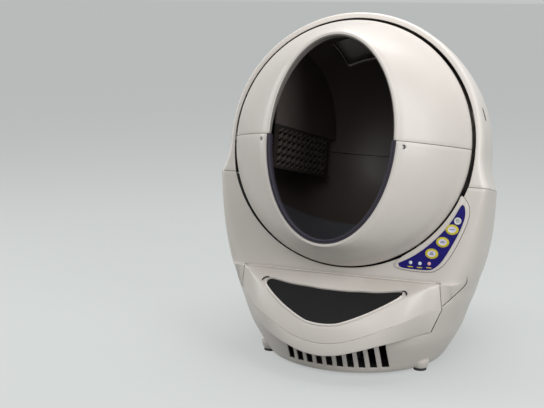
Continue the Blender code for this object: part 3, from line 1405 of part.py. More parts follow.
def build_runners():
    """Two rails that carry the drawer on the floor plate."""
    floor_top = FLOOR_LEVEL + FOOT_LIFT + FLOOR_THICK
    top = BIN_BOTTOM - FIT
    half = RUNNER_WIDTH / 2
    foot = RUNNER_FOOT / 2
    shelf = floor_top + FIT + RUNNER_FOOT_THICK
    outline = [(-foot, floor_top + FIT), (foot, floor_top + FIT), (foot, shelf), (half, shelf), (half, top),
               (-half, top), (-half, shelf), (-foot, shelf)]
    for side, word in ((-1, "left"), (1, "right")):
        points = [(x + side * RUNNER_X, z) for x, z in outline]
        rail = prism("drawer_runner_" + word, points, BIN_FRONT, BIN_BACK, base_frame)
        finish(rail, CHARCOAL)


# Control panel


def oval(centre, grow):
    """An oval button outline in the axis frame."""
    return circle_points(OVAL_HALF_WIDTH + grow, OVAL_HALF_HEIGHT + grow, 28, centre=centre)


def disc(centre, radius, steps=24):
    """A round outline in the axis frame."""
    return circle_points(radius, radius, steps, centre=centre)


def panel_holes(name, start, end):
    """Cutters for the buttons and lamps."""
    cutters = [prism("hole", oval(place, BUTTON_GAP), start, end, axis_frame)
               for place in scaled(oval_button_shares)]
    round_place = scaled((round_button_share,))[0]
    rim = disc(round_place, ROUND_BUTTON_RADIUS + BUTTON_GAP)
    cutters.append(prism("hole", rim, start, end, axis_frame))
    for place in scaled(led_shares):
        cutters.append(prism("hole", disc(place, LED_RADIUS + FIT, LAMP_STEPS), start, end, axis_frame))
    return merge_meshes(name, cutters)


def build_panel():
    """Bezel, blue membrane, four buttons, three lamps and the board behind them."""
    outline = scaled(bezel_outline_shares)
    bezel = prism("panel_bezel", outline, -BEZEL_PROUD, BEZEL_BACK, axis_frame)
    sheet = scaled(membrane_outline_shares)
    sink = -BEZEL_PROUD + MEMBRANE_SINK
    combine(bezel, prism("pocket", grown(sheet, FIT), -OVERRUN, sink, axis_frame))
    combine(bezel, panel_holes("holes", -OVERRUN, OVERRUN / 2))
    for place in scaled(boss_shares):
        boss = prism("boss", disc(place, BOSS_RADIUS, 12), BEZEL_BACK - FIT, BOARD_DEPTH - FIT, axis_frame)
        combine(bezel, boss, "UNION")
    finish(bezel, BEIGE)
    membrane = prism("panel_membrane", sheet, sink - FIT - MEMBRANE_THICK, sink - FIT, axis_frame)
    combine(membrane, panel_holes("holes", -OVERRUN, OVERRUN / 2))
    finish(membrane, BLUE)
    face = sink - FIT - MEMBRANE_THICK - BUTTON_PROUD
    end = BOARD_DEPTH - BUTTON_TRAVEL - FIT * 2
    words = ("cycle", "empty", "reset")
    for word, place in zip(words, scaled(oval_button_shares)):
        button("button_" + word, oval((0.0, 0.0), 0.0), place, face, end, LILAC)
    place = scaled((round_button_share,))[0]
    button("button_power", disc((0.0, 0.0), ROUND_BUTTON_RADIUS), place, face, end, GREY)
    lamps = zip(("lamp_left", "lamp_middle", "lamp_right"), scaled(led_shares), (LENS, LENS, LENS_RED))
    for word, place, look in lamps:
        outline = disc(place, LED_RADIUS, LAMP_STEPS)
        lamp = prism(word, outline, face + BUTTON_PROUD / 2, BOARD_DEPTH - FIT, axis_frame)
        finish(lamp, look)
    build_board(sheet)


def button(name, outline, place, face, end, look):
    """A push button with its origin in its own middle."""
    spot = frame(name + "_axis", (place[0], face, place[1]), parent=axis_frame)
    finish(prism(name, outline, 0.0, end - face, spot), look)


def build_board(sheet):
    """The circuit board behind the panel."""
    middle = (sum(x for x, _ in sheet) / len(sheet), sum(z for _, z in sheet) / len(sheet))
    outline = [(mix(middle[0], x, BOARD_SHARE), mix(middle[1], z, BOARD_SHARE)) for x, z in sheet]
    finish(prism("circuit_board", outline, BOARD_DEPTH, BOARD_DEPTH + BOARD_THICK, axis_frame), GREEN)


def build_inlet():
    """The power inlet in its boss on the base's back wall."""
    spot = (INLET_X, INLET_HEIGHT)
    wall = base_back_at(*spot) + INLET_BOSS_PROUD
    inlet = rod("power_inlet", INLET_RADIUS, wall - INLET_BOSS - FIT, wall + FIT * 2, base_frame, spot)
    end = wall + FIT + INLET_FLANGE_THICK
    combine(inlet, rod("flange", INLET_FLANGE, wall + FIT, end, base_frame, spot), "UNION")
    combine(inlet, rod("bore", INLET_BORE, wall - INLET_DEPTH, wall + OVERRUN, base_frame, spot, 16))
    finish(inlet, BLACK)


def base_back_at(x, height):
    """How far back the base skin reaches at a place, measured from the ring centre."""
    row = row_at(height)
    centre = mix(BASE_FLOOR_CENTRE, SEAM_CENTRE, row[0])
    across = abs(x) / (POD_HALF_WIDTH * row[1])
    run = SEAM_BACK * row[3] - centre
    return centre + run * (1 - across ** POD_BACK_POWER) ** (1 / POD_BACK_POWER)


build_bonnet()
build_base_shell()
build_hinge_pin()
build_floor()
build_feet()
build_deck()
build_rollers()
build_globe()
build_lip()
build_screen()
build_drive_ring()
build_drive()
build_drawer()
build_runners()
build_panel()
build_inlet()
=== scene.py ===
"""Looks of the self cleaning litter box: finer shells, materials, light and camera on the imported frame.

Metres, +Z up, front to -Y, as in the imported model. The globe, bonnet and panel are drawn in the axis
frame: x across, y along the globe's axis towards the back, z square to both.
"""
import json
import math

import bmesh
import bpy
from mathutils import Matrix, Vector

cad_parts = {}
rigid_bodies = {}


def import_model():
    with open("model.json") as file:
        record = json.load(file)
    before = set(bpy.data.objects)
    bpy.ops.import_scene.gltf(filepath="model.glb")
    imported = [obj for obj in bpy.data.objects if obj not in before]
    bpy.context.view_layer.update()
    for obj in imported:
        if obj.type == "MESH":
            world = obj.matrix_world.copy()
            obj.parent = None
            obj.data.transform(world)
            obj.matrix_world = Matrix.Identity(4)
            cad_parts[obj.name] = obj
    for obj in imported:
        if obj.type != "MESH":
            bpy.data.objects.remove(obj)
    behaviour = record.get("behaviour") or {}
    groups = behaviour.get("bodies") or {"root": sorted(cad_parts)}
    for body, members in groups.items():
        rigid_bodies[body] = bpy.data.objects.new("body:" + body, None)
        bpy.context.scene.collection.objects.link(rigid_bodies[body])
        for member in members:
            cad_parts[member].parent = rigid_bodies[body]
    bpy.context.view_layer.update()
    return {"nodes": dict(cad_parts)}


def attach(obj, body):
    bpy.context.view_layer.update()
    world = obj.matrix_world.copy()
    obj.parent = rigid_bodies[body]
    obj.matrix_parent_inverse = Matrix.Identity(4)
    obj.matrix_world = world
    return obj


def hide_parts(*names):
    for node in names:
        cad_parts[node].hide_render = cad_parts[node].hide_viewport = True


for old in list(bpy.data.objects):
    bpy.data.objects.remove(old, do_unlink=True)
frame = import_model()

# Overall layout
RING_HEIGHT = 0.473
TILT = math.radians(13)
SEAM_DROP = 0.077
RIDGE_HEIGHT = 0.201
FOOT_LIFT = 0.006
OVERRUN = 0.060
FIT = 0.0003
SEAM_GAP = 0.0010
PANEL_GAP = 0.0012
BAY_GAP = PANEL_GAP * 0.7
SEAM_EDGE = 0.00055
FINE_EDGE = 0.0006
THIN_EDGE = 0.0005
BEAD_TIP = 0.2
BEAD_GROWTH = 0.4
ROUND_STEPS = 64
SIDES = ((-1, "left"), (1, "right"))

# Bonnet and base skin
POD_RADIUS = 0.283
POD_HALF_WIDTH = 0.300
POD_WIDEST = 0.025
POD_FRONT_RUN = 0.178
POD_BACK_RUN = 0.435
POD_BACK_POWER = 2.2
SHELL_WALL = 0.004
RIM_ROUND_TOP = 0.014
RIM_ROUND_SIDE = 0.030
RIM_ROUND_RISE = 0.160
BASE_FLOOR_CENTRE = 0.055
BORE_RADIUS = 0.267
BORE_SIDE_DROP = 0.311
BONNET_BORE = 0.2682
BASE_BORE_ACROSS = 0.2715
BASE_BORE_DOWN = 0.2655
RIM_FLANGE = 0.003
RIM_FLANGE_DEPTH = 0.016
RIM_FILLET = 0.0016
FIRST_STATION = 0.03
CORNER_START = 1.15
back_turn_shares = (0.028, 0.083, 0.167, 0.25, 0.333, 0.417, 0.5, 0.583, 0.667, 0.75, 0.833, 0.917, 0.968)

# Painted shade: black walls of the globe's opening and of the side slots, standing for the shade in those
# gaps
SHADE_START = 0.0008
SHADE_MARGIN = 0.0075
SLOT_SHADE_REACH = 0.0154
SLOT_WALL_X = 0.2368
SLOT_WALL_LEAN = 0.4

# Share of the seam height, of the half width, of the front reach and of the back reach
base_rows = (
    (0.000, 0.647, 0.775, 0.801),
    (0.015, 0.670, 0.787, 0.812),
    (0.036, 0.687, 0.799, 0.817),
    (0.097, 0.733, 0.859, 0.826),
    (0.173, 0.783, 0.938, 0.840),
    (0.258, 0.820, 0.962, 0.863),
    (0.367, 0.873, 0.980, 0.905),
    (0.439, 0.900, 0.986, 0.924),
    (0.499, 0.927, 0.992, 0.940),
    (0.625, 0.960, 0.998, 0.970),
    (0.750, 0.980, 0.999, 0.989),
    (0.878, 0.992, 1.000, 0.997),
    (1.000, 1.000, 1.000, 1.000),
)

# Step and drawer
STEP_REACH = 0.1322
FACET_SHAVE = 0.0005
DRAWER_HALF_WIDTH = 0.218
DRAWER_WIDEST = 0.224
DRAWER_WIDEST_HEIGHT = 0.147
DRAWER_MARGIN = 0.001
DRAWER_LOW_HALF = 0.203
DRAWER_BACK = 0.052
FRONT_SKIN = 0.008
STEP_SKIN = 0.013
DRAWER_SOLE = 0.006
PAD_HALF_WIDTH = 0.149
PAD_POCKET = 0.006
PAD_THICK = 0.003
PAD_BOW_SHARE = 0.2
POCKET_GAP = 0.0008
CREASE_HALF = 0.0011
CREASE_DEPTH = 0.0026
EDGE_FILLET = 0.0055
BOTTOM_FILLET = 0.0030
FILLET_LIMIT = 0.45
RIDGE_BEAD = 0.0022
RIDGE_BEAD_SHORT = 0.003
RIDGE_BEAD_FORWARD = 0.0026
RIDGE_BEAD_DROP = 0.0002
PAD_BEAD = 0.0026
PAD_BEAD_SIDE = 0.0016
PAD_BEAD_DOWN = 0.0028 / 0.13  # as a share of the slope, which is 0.13 long
PAD_BEAD_LIFT = 0.0009
HOOK_RADIUS = 0.0019
HOOK_X = 0.1465
HOOK_WIDTH = 0.0130
HOOK_START = 0.52
HOOK_RUN = 0.34
HOOK_LIFT = 0.0004

# Distance from the middle as a share of the drawer's widest half. Then the step's lower edge,
# the crease and the bottom edge, each as a share of the step's reach and of the ridge's height
front_shares = (
    (0.000, 0.917, 0.592, 0.992, 0.428, 1.000, 0.294),
    (0.134, 0.902, 0.604, 0.981, 0.440, 0.992, 0.308),
    (0.223, 0.864, 0.634, 0.958, 0.460, 0.974, 0.328),
    (0.312, 0.803, 0.673, 0.924, 0.488, 0.939, 0.356),
    (0.402, 0.735, 0.717, 0.875, 0.522, 0.887, 0.383),
    (0.491, 0.648, 0.765, 0.811, 0.560, 0.803, 0.408),
    (0.580, 0.557, 0.813, 0.724, 0.597, 0.675, 0.425),
    (0.670, 0.459, 0.862, 0.629, 0.632, 0.523, 0.440),
    (0.759, 0.357, 0.910, 0.508, 0.669, 0.342, 0.455),
    (0.848, 0.228, 0.950, 0.357, 0.711, 0.175, 0.473),
    (0.946, 0.054, 0.985, 0.153, 0.744, 0.024, 0.490),
    (1.009, 0.024, 0.990, 0.017, 0.761, -0.051, 0.498),
    (1.071, 0.017, 0.992, -0.104, 0.803, -0.142, 0.512),
    (1.170, 0.012, 0.994, -0.263, 0.935, -0.286, 0.527),
)

# Share of the pad's half width, then its upper and lower edge as shares of the step's slope
pad_shares = (
    (0.00, 0.31, 0.95), (0.20, 0.315, 0.95), (0.40, 0.33, 0.95), (0.60, 0.375, 0.95), (0.75, 0.41, 0.945),
    (0.86, 0.435, 0.92), (0.94, 0.47, 0.88), (0.98, 0.52, 0.84), (1.00, 0.60, 0.77),
)

# Vents below the drawer
VENT_COUNT = 10
VENT_WIDTH = 0.0145
VENT_PITCH = 0.0225
VENT_SHIFT = 0.015
VENT_FOOT = 0.0187
VENT_MARGIN = 0.006

# Shut line of the wing beside the drawer, as (x, z) points
WING_FRONT = -0.15
WING_BACK = 0.03
WING_HALF = 0.00075
WING_TIP_HALF = 0.0002
wing_path = ((0.2246, 0.1533), (0.2430, 0.1720), (0.2600, 0.1895), (0.2640, 0.1960), (0.2660, 0.2030),
             (0.2668, 0.2150))

# Globe
GLOBE_RADIUS = 0.258
GLOBE_LENGTH = 0.400
GLOBE_POWER = 2.5
GLOBE_WALL = 0.004
GLOBE_FRONT_POWER = 1.6
MOUTH_FORWARD = 0.1365
MOUTH_HALF_WIDTH = 0.133
MOUTH_HALF_WIDTH_LOW = 0.1375
MOUTH_RISE = 0.208
MOUTH_DROP = 0.216
MOUTH_EDGE = 0.007
MOUTH_EDGE_ROUND = 0.0025
GLOBE_SPLIT = 0.0013
GLOBE_SHOULDER = 0.0038
GLOBE_FRONT_START = 0.04
GLOBE_BACK_FINE = 0.02
CABIN_FRONT_START = 0.02
SHOULDER_FORWARD = 0.008
SHOULDER_RUN = 0.024
COLLAR_LEAST = 0.004
COLLAR_DEPTH = 0.021
COLLAR_WALL = 0.0015
HUB_RADIUS = 0.026
LINING_WALL = 0.0025
LINING_START_LOW = 0.10
LINING_START_HIGH = 0.26
MAT_TURN = math.radians(62)
MAT_EDGE_SHARE = 0.985
MAT_REACH = 0.33
MAT_START = -0.06
MAT_THICK = 0.0028
MAT_END_SLOPE = 14
MAT_SIDE_SLOPE = 30
LIP_WIDTH = 0.009
LIP_PROUD = 0.003

# Section of the lip as shares of its width and of its height
lip_section = (
    (-0.97, -0.10), (-0.90, -0.60), (-0.78, -0.92), (-0.62, -1.00), (-0.50, -0.80), (-0.42, -0.45),
    (-0.34, -0.45), (-0.26, -0.78), (-0.17, -0.80), (-0.08, -0.55), (-0.035, 0.0), (-0.035, 1.4),
    (-0.50, 4.66), (-0.85, 4.66),
)

# Screws beside the mouth; cross and section in shares of the radius, the section's depths in metres
GLOBE_SCREW_RADIUS = 0.0038
GLOBE_SCREW_THICK = 0.0016
GLOBE_SCREW_SEAT = 0.0008
GLOBE_SCREW_ARM = 0.55
GLOBE_SCREW_ARM_HALF = 0.16
screw_section = ((0.0, 0.0), (0.8, 0.0002), (1.0, 0.0008))
GLOBE_SCREW_X = 0.1503
GLOBE_SCREW_RISE = -0.0115
GLOBE_SCREW_DEPTH = -0.1275
GLOBE_SCREW_LEAN = math.radians(52)

# Sifting screen and waste port
SCREEN_X = -0.150
SCREEN_THICK = 0.003
SCREEN_FOOT = -0.066
SCREEN_HEAD = 0.028
SCREEN_START = -0.062
SCREEN_END = 0.296
SCREEN_FRAME = 0.008
SCREEN_LIP = 0.010
SLOT_ROWS = 5
SLOT_COLUMNS = 11
SLOT_HEIGHT = 0.0085
SLOT_LENGTH = 0.018
SLOT_LEAN = math.radians(20)
RIB_HALF = 0.0009
RIB_PROUD = 0.0013
PORT_LOW_X = -0.100
PORT_HIGH_X = 0.070
PORT_START = 0.105
PORT_END = 0.245
PORT_FRAME = 0.010
PORT_PROUD = 0.003
PORT_CORNER = 0.008

# Bonnet hinge and side slots
HINGE_OFFSET = 0.0075
KNUCKLE_RADIUS = 0.006
KNUCKLE_HALF = 0.024
KNUCKLE_SIDE = 0.012
KNUCKLE_GAP = 0.0006
KNUCKLE_TAB = 0.016
HINGE_PIN_RADIUS = 0.0025
SLOT_RISE = 0.078
SLOT_SPAN = 0.028
SLOT_WIDTH = 0.010
SLOT_DEPTH_BACK = 0.0435
SIDE_SLOT_LEAN = math.radians(22)

# Control panel
BEZEL_PROUD = 0.003
BEZEL_BACK = 0.004
MEMBRANE_SINK = 0.0010
MEMBRANE_THICK = 0.0009
BUTTON_PROUD = 0.0012
BUTTON_TRAVEL = 0.0010
BUTTON_GAP = 0.0004
OVAL_HALF_WIDTH = 0.0120
OVAL_HALF_HEIGHT = 0.0088
ROUND_BUTTON_RADIUS = 0.0076
LED_RADIUS = 0.0037
BOARD_DEPTH = 0.0110
PANEL_EDGE = 0.0008
PANEL_BEAD = 0.0010
PANEL_BEAD_OUT = 0.0013
OVAL_DISH = 0.0004
ROUND_DISH = 0.0005
LENS_DOME = 0.0008

# Prints on the panel and its buttons
PRINT_THICK = 0.00012
FILM_RING = 0.0017
OVAL_MARK_SINK = 0.00036
ROUND_MARK_SINK = 0.00042
POWER_RING = 0.0033
POWER_RING_HOLE = 0.0024
POWER_GAP_HALF = 0.0012
POWER_BAR_HALF = 0.00045
POWER_BAR_FOOT = 0.0004
POWER_BAR_HEAD = 0.0038
BAR_PITCH = 0.0022
BAR_HALF = 0.0048
BAR_STEP = 0.0010
BAR_HALF_THICK = 0.0006
LAMP_BAR_DROP = 2.3
LAMP_BAR_HALF = 0.0056
LAMP_BAR_HALF_THICK = 0.0009

# Section of a cap as (share of its radius, share of its dish), then its rounded edge as (share, sink)
cap_dish = ((0.02, 1.0), (0.35, 0.85), (0.6, 0.5), (0.80, 0.05), (0.90, 0.0))
cap_edge = ((0.96, 0.0002), (1.0, 0.0008))

# Section of the print on an oval button as (share of its size, rise)
oval_print_rows = ((0.72, 0.0), (0.72, -0.00014), (0.9, -0.00016), (0.965, 0.0), (0.995, 0.0005),
                   (0.995, 0.0007))
OVAL_DISH_END = 0.80
OVAL_DISH_SHARE = 0.6

# Outlines and places as shares of the globe's opening
bezel_outline_shares = (
    (0.931, -0.358), (0.966, -0.392), (0.993, -0.440), (0.999, -0.500), (0.985, -0.572),
    (0.952, -0.668), (0.909, -0.770), (0.866, -0.850), (0.826, -0.905), (0.780, -0.944),
    (0.735, -0.962), (0.620, -0.968), (0.515, -0.962), (0.468, -0.952), (0.452, -0.932),
    (0.460, -0.903), (0.509, -0.858), (0.586, -0.804), (0.664, -0.741), (0.738, -0.667),
    (0.801, -0.590), (0.853, -0.512), (0.897, -0.430), (0.917, -0.381),
)
membrane_outline_shares = (
    (0.942, -0.428), (0.958, -0.440), (0.967, -0.480), (0.966, -0.530), (0.945, -0.608),
    (0.912, -0.690), (0.868, -0.782), (0.826, -0.860), (0.793, -0.904), (0.760, -0.932),
    (0.722, -0.949), (0.620, -0.953), (0.520, -0.950), (0.486, -0.939), (0.478, -0.917),
    (0.498, -0.906), (0.560, -0.872), (0.638, -0.817), (0.714, -0.750), (0.785, -0.674),
    (0.842, -0.600), (0.888, -0.525), (0.924, -0.450),
)
oval_button_shares = ((0.878, -0.622), (0.813, -0.724), (0.735, -0.820))
round_button_share = (0.916, -0.553)
led_shares = ((0.574, -0.903), (0.648, -0.904), (0.721, -0.899))

# Feet and power inlet
FOOT_HALF = 0.019
FOOT_HEIGHT = 0.022
FOOT_TAPER = 0.004
FOOT_X = 0.1722
FOOT_FRONT = -0.030
FOOT_REAR = 0.2452
FOOT_REAR_X = 0.1502
INLET_X = -0.030
INLET_HEIGHT = 0.120
INLET_RADIUS = 0.0075
INLET_BOSS = 0.014
INLET_BOSS_PROUD = 0.007

# Worked out from the sizes above
FULL_TURN = 2 * math.pi
HALF_TURN = math.pi
QUARTER_TURN = math.pi / 2
DOWNWARDS = HALF_TURN * 1.5
TURN_POWER = 2 / POD_BACK_POWER
POD_LENGTH = POD_WIDEST + POD_BACK_RUN
HINGE_DEPTH = POD_LENGTH + HINGE_OFFSET
SEAM_HEIGHT = RING_HEIGHT - SEAM_DROP * math.cos(TILT)
SEAM_CENTRE = POD_WIDEST * math.cos(TILT) - SEAM_DROP * math.sin(TILT)
SEAM_FRONT = (POD_FRONT_RUN - POD_WIDEST) * math.cos(TILT) + SEAM_DROP * math.sin(TILT)
SEAM_BACK = POD_LENGTH * math.cos(TILT) - SEAM_DROP * math.sin(TILT)
RIDGE_Y = (RIDGE_HEIGHT - RING_HEIGHT) * math.tan(TILT)
FRONT_REACH = STEP_REACH - RIDGE_Y
LINING_INSET = GLOBE_WALL + FIT + LINING_WALL + FIT
FILM_SINK = -BEZEL_PROUD + MEMBRANE_SINK
FILM_FACE = FILM_SINK - FIT - MEMBRANE_THICK
BUTTON_FACE = FILM_FACE - BUTTON_PROUD


def pod_share(depth):
    """Radius of the pod at a depth, as a share of its widest radius."""
    behind = depth - POD_WIDEST
    if behind < 0:
        return math.sqrt(1 - (behind / POD_FRONT_RUN) ** 2)
    rest = max(1 - (behind / POD_BACK_RUN) ** POD_BACK_POWER, 0.0)
    return rest ** (1 / POD_BACK_POWER)


def back_depths(shares=back_turn_shares):
    """Depths of stations behind the widest one, each given as a share of a quarter turn."""
    return [POD_WIDEST + POD_BACK_RUN * math.sin(QUARTER_TURN * share) ** TURN_POWER for share in shares]


def top_reach(depth):
    """How far back the bonnet's top line reaches at a depth."""
    return depth * math.cos(TILT) + POD_RADIUS * pod_share(depth) * math.sin(TILT)


BACK_REACH = max(
    max(top_reach(depth) for depth in back_depths()),
    (HINGE_DEPTH + KNUCKLE_RADIUS) * math.cos(TILT) - SEAM_DROP * math.sin(TILT),
)
RING_Y = (FRONT_REACH - BACK_REACH) / 2


def mix(one, two, share):
    """The value at a share of the way from one to two."""
    return one + (two - one) * share


def soft_max(one, two, blend):
    """The larger of two values, rounded over where they cross."""
    near = max(blend - abs(one - two), 0.0) / blend
    return max(one, two) + near * near * blend / 4


def corner_blend(rise):
    """Rounding of the bonnet's front edge: small at the top, large at the seam."""
    share = min(max((rise + SEAM_DROP) / (RIM_ROUND_RISE + SEAM_DROP), 0.0), 1.0)
    return mix(RIM_ROUND_SIDE, RIM_ROUND_TOP, share * share * (3 - 2 * share))


def bonnet_point(kind, value, radius_share, inset, side):
    """A point (x, rise) of the bonnet's section."""
    radius = POD_RADIUS * radius_share - inset
    if kind == "dome":
        return radius * math.cos(value), radius * math.sin(value)
    seam_half = POD_HALF_WIDTH * radius_share - inset
    share = min(value, 1.0)
    return side * mix(radius, seam_half, share * share), -SEAM_DROP * value


def base_back_at(x, height):
    """How far back the base skin reaches at a place, measured from the ring centre."""
    row = row_at(height)
    centre = mix(BASE_FLOOR_CENTRE, SEAM_CENTRE, row[0])
    across = abs(x) / (POD_HALF_WIDTH * row[1])
    run = SEAM_BACK * row[3] - centre
    return centre + run * (1 - across ** POD_BACK_POWER) ** (1 / POD_BACK_POWER)


def drawer_edge(x):
    """Height of the drawer's lower edge at a distance from the middle."""
    return front_marks(x)[2][1]


def scaled(shares):
    """Points given as shares of the globe's opening."""
    return [(x * BORE_RADIUS, z * BORE_RADIUS) for x, z in shares]


def grown(outline, gap):
    """An outline moved outwards by a gap."""
    following = outline[1:] + outline[:1]
    area = sum(one[0] * two[1] - two[0] * one[1] for one, two in zip(outline, following))
    turn = 1 if area > 0 else -1
    points = []
    for index, (x, z) in enumerate(outline):
        run = (Vector(following[index]) - Vector(outline[index - 1])).normalized()
        points.append((x + turn * run.y * gap, z - turn * run.x * gap))
    return points


def circle_points(across, up, steps, start=0.0, sweep=FULL_TURN, centre=(0.0, 0.0)):
    """Points of an ellipse, without its last point when it closes on itself."""
    count = steps if sweep == FULL_TURN else steps + 1
    angles = [start + sweep * index / steps for index in range(count)]
    return [(centre[0] + across * math.cos(a), centre[1] + up * math.sin(a)) for a in angles]


def axis_ring(across, up, depth, angles, lift=0.0):
    """Points of an ellipse round the axis at a depth."""
    return [(across * math.cos(a), depth, up * math.sin(a) + lift) for a in angles]


def foot_places():
    """Where the four feet stand."""
    return [(side * x, y) for side, _ in SIDES for x, y in ((FOOT_X, FOOT_FRONT), (FOOT_REAR_X, FOOT_REAR))]


def globe_profile_radius(depth):
    """Radius of the globe behind the ring plane."""
    share = min(max(depth / GLOBE_LENGTH, 0.0), 1.0)
    return GLOBE_RADIUS * (1 - share ** GLOBE_POWER) ** (1 / GLOBE_POWER)


def shoulder(depth):
    """How much fuller the globe stands at its widest, fading out in front of the rollers."""
    share = max(1 - abs(depth + SHOULDER_FORWARD) / SHOULDER_RUN, 0.0)
    return GLOBE_SHOULDER * share * share * (3 - 2 * share)


def mouth_size(lower):
    """Half width of the mouth, and its rise or drop from the middle."""
    return (MOUTH_HALF_WIDTH_LOW, MOUTH_DROP) if lower else (MOUTH_HALF_WIDTH, MOUTH_RISE)


def split_lift(lower):
    """How far a half of the globe stands from the split's middle."""
    return -GLOBE_SPLIT / 2 if lower else GLOBE_SPLIT / 2


def globe_point(angle, front_share, inset, lower):
    """A point in front of the ring plane; front_share runs from 0 at the mouth to 1 at the ring."""
    blend = 1 - (1 - front_share) ** GLOBE_FRONT_POWER
    half_width, height = mouth_size(lower)
    edge = MOUTH_EDGE - inset * MOUTH_EDGE / GLOBE_WALL if inset <= GLOBE_WALL else GLOBE_WALL - inset
    depth = -MOUTH_FORWARD * (1 - front_share)
    more = shoulder(depth)
    across = mix(half_width + edge, GLOBE_RADIUS - inset, blend) + more
    rise = mix(height + edge, GLOBE_RADIUS - inset, blend) + more
    return (across * math.cos(angle), depth, rise * math.sin(angle))


def globe_back_ring(share, angles, inset):
    """A ring behind the ring plane; share runs from 0 at the ring to 1 at the hub."""
    turn = math.acos((HUB_RADIUS / GLOBE_RADIUS) ** (GLOBE_POWER / 2)) * share
    along = (GLOBE_LENGTH - inset) * math.sin(turn) ** (2 / GLOBE_POWER)
    out = (GLOBE_RADIUS - inset) * math.cos(turn) ** (2 / GLOBE_POWER) + shoulder(along)
    return axis_ring(out, out, along, angles)


def run_at(path, index):
    """The direction of an open path of vectors at one of its points."""
    return (path[min(index + 1, len(path) - 1)] - path[max(index - 1, 0)]).normalized()


def step_point(x, share, rise):
    """A point on the sloping step, lifted square to it by a rise."""
    edge = front_marks(x)[0]
    slope = Vector((0.0, edge[0] - RIDGE_Y, edge[1] - RIDGE_HEIGHT))
    start = Vector((x, RIDGE_Y, RIDGE_HEIGHT))
    normal = Vector((0.0, slope.z, -slope.y)).normalized()
    return start + slope * share + normal * rise


def disc(centre, radius, steps):
    """A round outline in the axis frame."""
    return circle_points(radius, radius, steps, centre=centre)


def oval(centre, grow):
    """An oval button's outline in the axis frame, grown by a gap."""
    return circle_points(OVAL_HALF_WIDTH + grow, OVAL_HALF_HEIGHT + grow, ROUND_STEPS, centre=centre)


# Frames: the globe's axis, and level with the floor

AXIS = Matrix.Translation((0.0, RING_Y, RING_HEIGHT)) @ Matrix.Rotation(-TILT, 4, "X")
BASE = Matrix.Translation((0.0, RING_Y, 0.0))

# Curves and tables


def spread(low, high, steps):
    """Even values from low to high, both included."""
    return [low + (high - low) * index / steps for index in range(steps + 1)]


def curve_at(rows, at, even=False):
    """A row of a table at a key, on a smooth curve through the rows; even mirrors it at the first row."""
    at = min(max(at, rows[0][0]), rows[-1][0])
    index = next(i for i in range(len(rows) - 1) if at <= rows[i + 1][0] or i == len(rows) - 2)
    near, far = rows[index], rows[index + 1]
    before = rows[index - 1] if index else ((-rows[1][0], *rows[1][1:]) if even else near)
    after = rows[index + 2] if index + 2 < len(rows) else far
    span = far[0] - near[0]
    t = (at - near[0]) / span
    row = [at]
    for one, two, three, four in zip(before[1:], near[1:], far[1:], after[1:]):
        slope_near = (three - one) / (far[0] - before[0]) * span
        slope_far = (four - two) / (after[0] - near[0]) * span
        row.append(two * (2 * t ** 3 - 3 * t ** 2 + 1) + slope_near * (t ** 3 - 2 * t ** 2 + t)
                   + three * (3 * t ** 2 - 2 * t ** 3) + slope_far * (t ** 3 - t ** 2))
    return row


def row_at(height):
    """The row of the base's level table at a height."""
    return curve_at(base_rows, (height - FOOT_LIFT) / (SEAM_HEIGHT - FOOT_LIFT))


def front_marks(x):
    """The step's lower edge, the crease and the bottom edge at x, each as (y, z)."""
    row = curve_at(front_shares, abs(x) / DRAWER_WIDEST, True)
    return [(RIDGE_Y - reach * STEP_REACH, rise * RIDGE_HEIGHT)
            for reach, rise in zip(row[1::2], row[2::2])]


def round_outline(points, per=4):
    """A closed outline on a smooth curve through its points."""
    count = len(points)
    made = []
    for index in range(count):
        p = [Vector(points[(index + step) % count]) for step in (-1, 0, 1, 2)]
        for part in range(per):
            t = part / per
            bend = p[0] * 2 - p[1] * 5 + p[2] * 4 - p[3]
            twist = p[1] * 3 - p[0] - p[2] * 3 + p[3]
            made.append(tuple((p[1] * 2 + (p[2] - p[0]) * t + bend * t * t + twist * t ** 3) / 2))
    return made


# Mesh tools


def add_object(name, data):
    """A new object in the scene."""
    obj = bpy.data.objects.new(name, data)
    bpy.context.collection.objects.link(obj)
    return obj


def to_object(name, bm, place):
    """Turns a bmesh drawn in a frame into an object with its faces out."""
    bm.transform(place)
    bmesh.ops.recalc_face_normals(bm, faces=bm.faces)
    mesh = bpy.data.meshes.new(name)
    bm.to_mesh(mesh)
    bm.free()
    return add_object(name, mesh)


def grid(bm, rings, closed):
    """Lays quads between neighbouring rings of points and returns the rows of vertices."""
    rows = [[bm.verts.new(point) for point in ring] for ring in rings]
    for near, far in zip(rows, rows[1:]):
        count = len(near) if closed else len(near) - 1
        for index in range(count):
            following = (index + 1) % len(near)
            bm.faces.new((near[index], near[following], far[following], far[index]))
    return rows


def loft(name, rings, place):
    """A solid skinned over closed rings, flat at both ends."""
    bm = bmesh.new()
    rows = grid(bm, rings, True)
    bm.faces.new(rows[0])
    bm.faces.new(rows[-1])
    return to_object(name, bm, place)


def open_shell(name, outer, inner):
    """A shell between two open grids of points in the axis frame, closed along all four edges."""
    bm = bmesh.new()
    out = grid(bm, outer, False)
    inn = grid(bm, inner, False)
    edges = ((out[0], inn[0]), (out[-1], inn[-1]), ([row[0] for row in out], [row[0] for row in inn]),
             ([row[-1] for row in out], [row[-1] for row in inn]))
    for one, two in edges:
        for index in range(len(one) - 1):
            bm.faces.new((one[index], one[index + 1], two[index + 1], two[index]))
    return to_object(name, bm, AXIS)


def prism(name, outline, start, end, place):
    """An outline of (x, z) points extruded along y."""
    return loft(name, [[(x, y, z) for x, z in outline] for y in (start, end)], place)


def block(name, low, high, place):
    """A box between two corners."""
    outline = [(low[0], low[2]), (high[0], low[2]), (high[0], high[2]), (low[0], high[2])]
    return prism(name, outline, low[1], high[1], place)


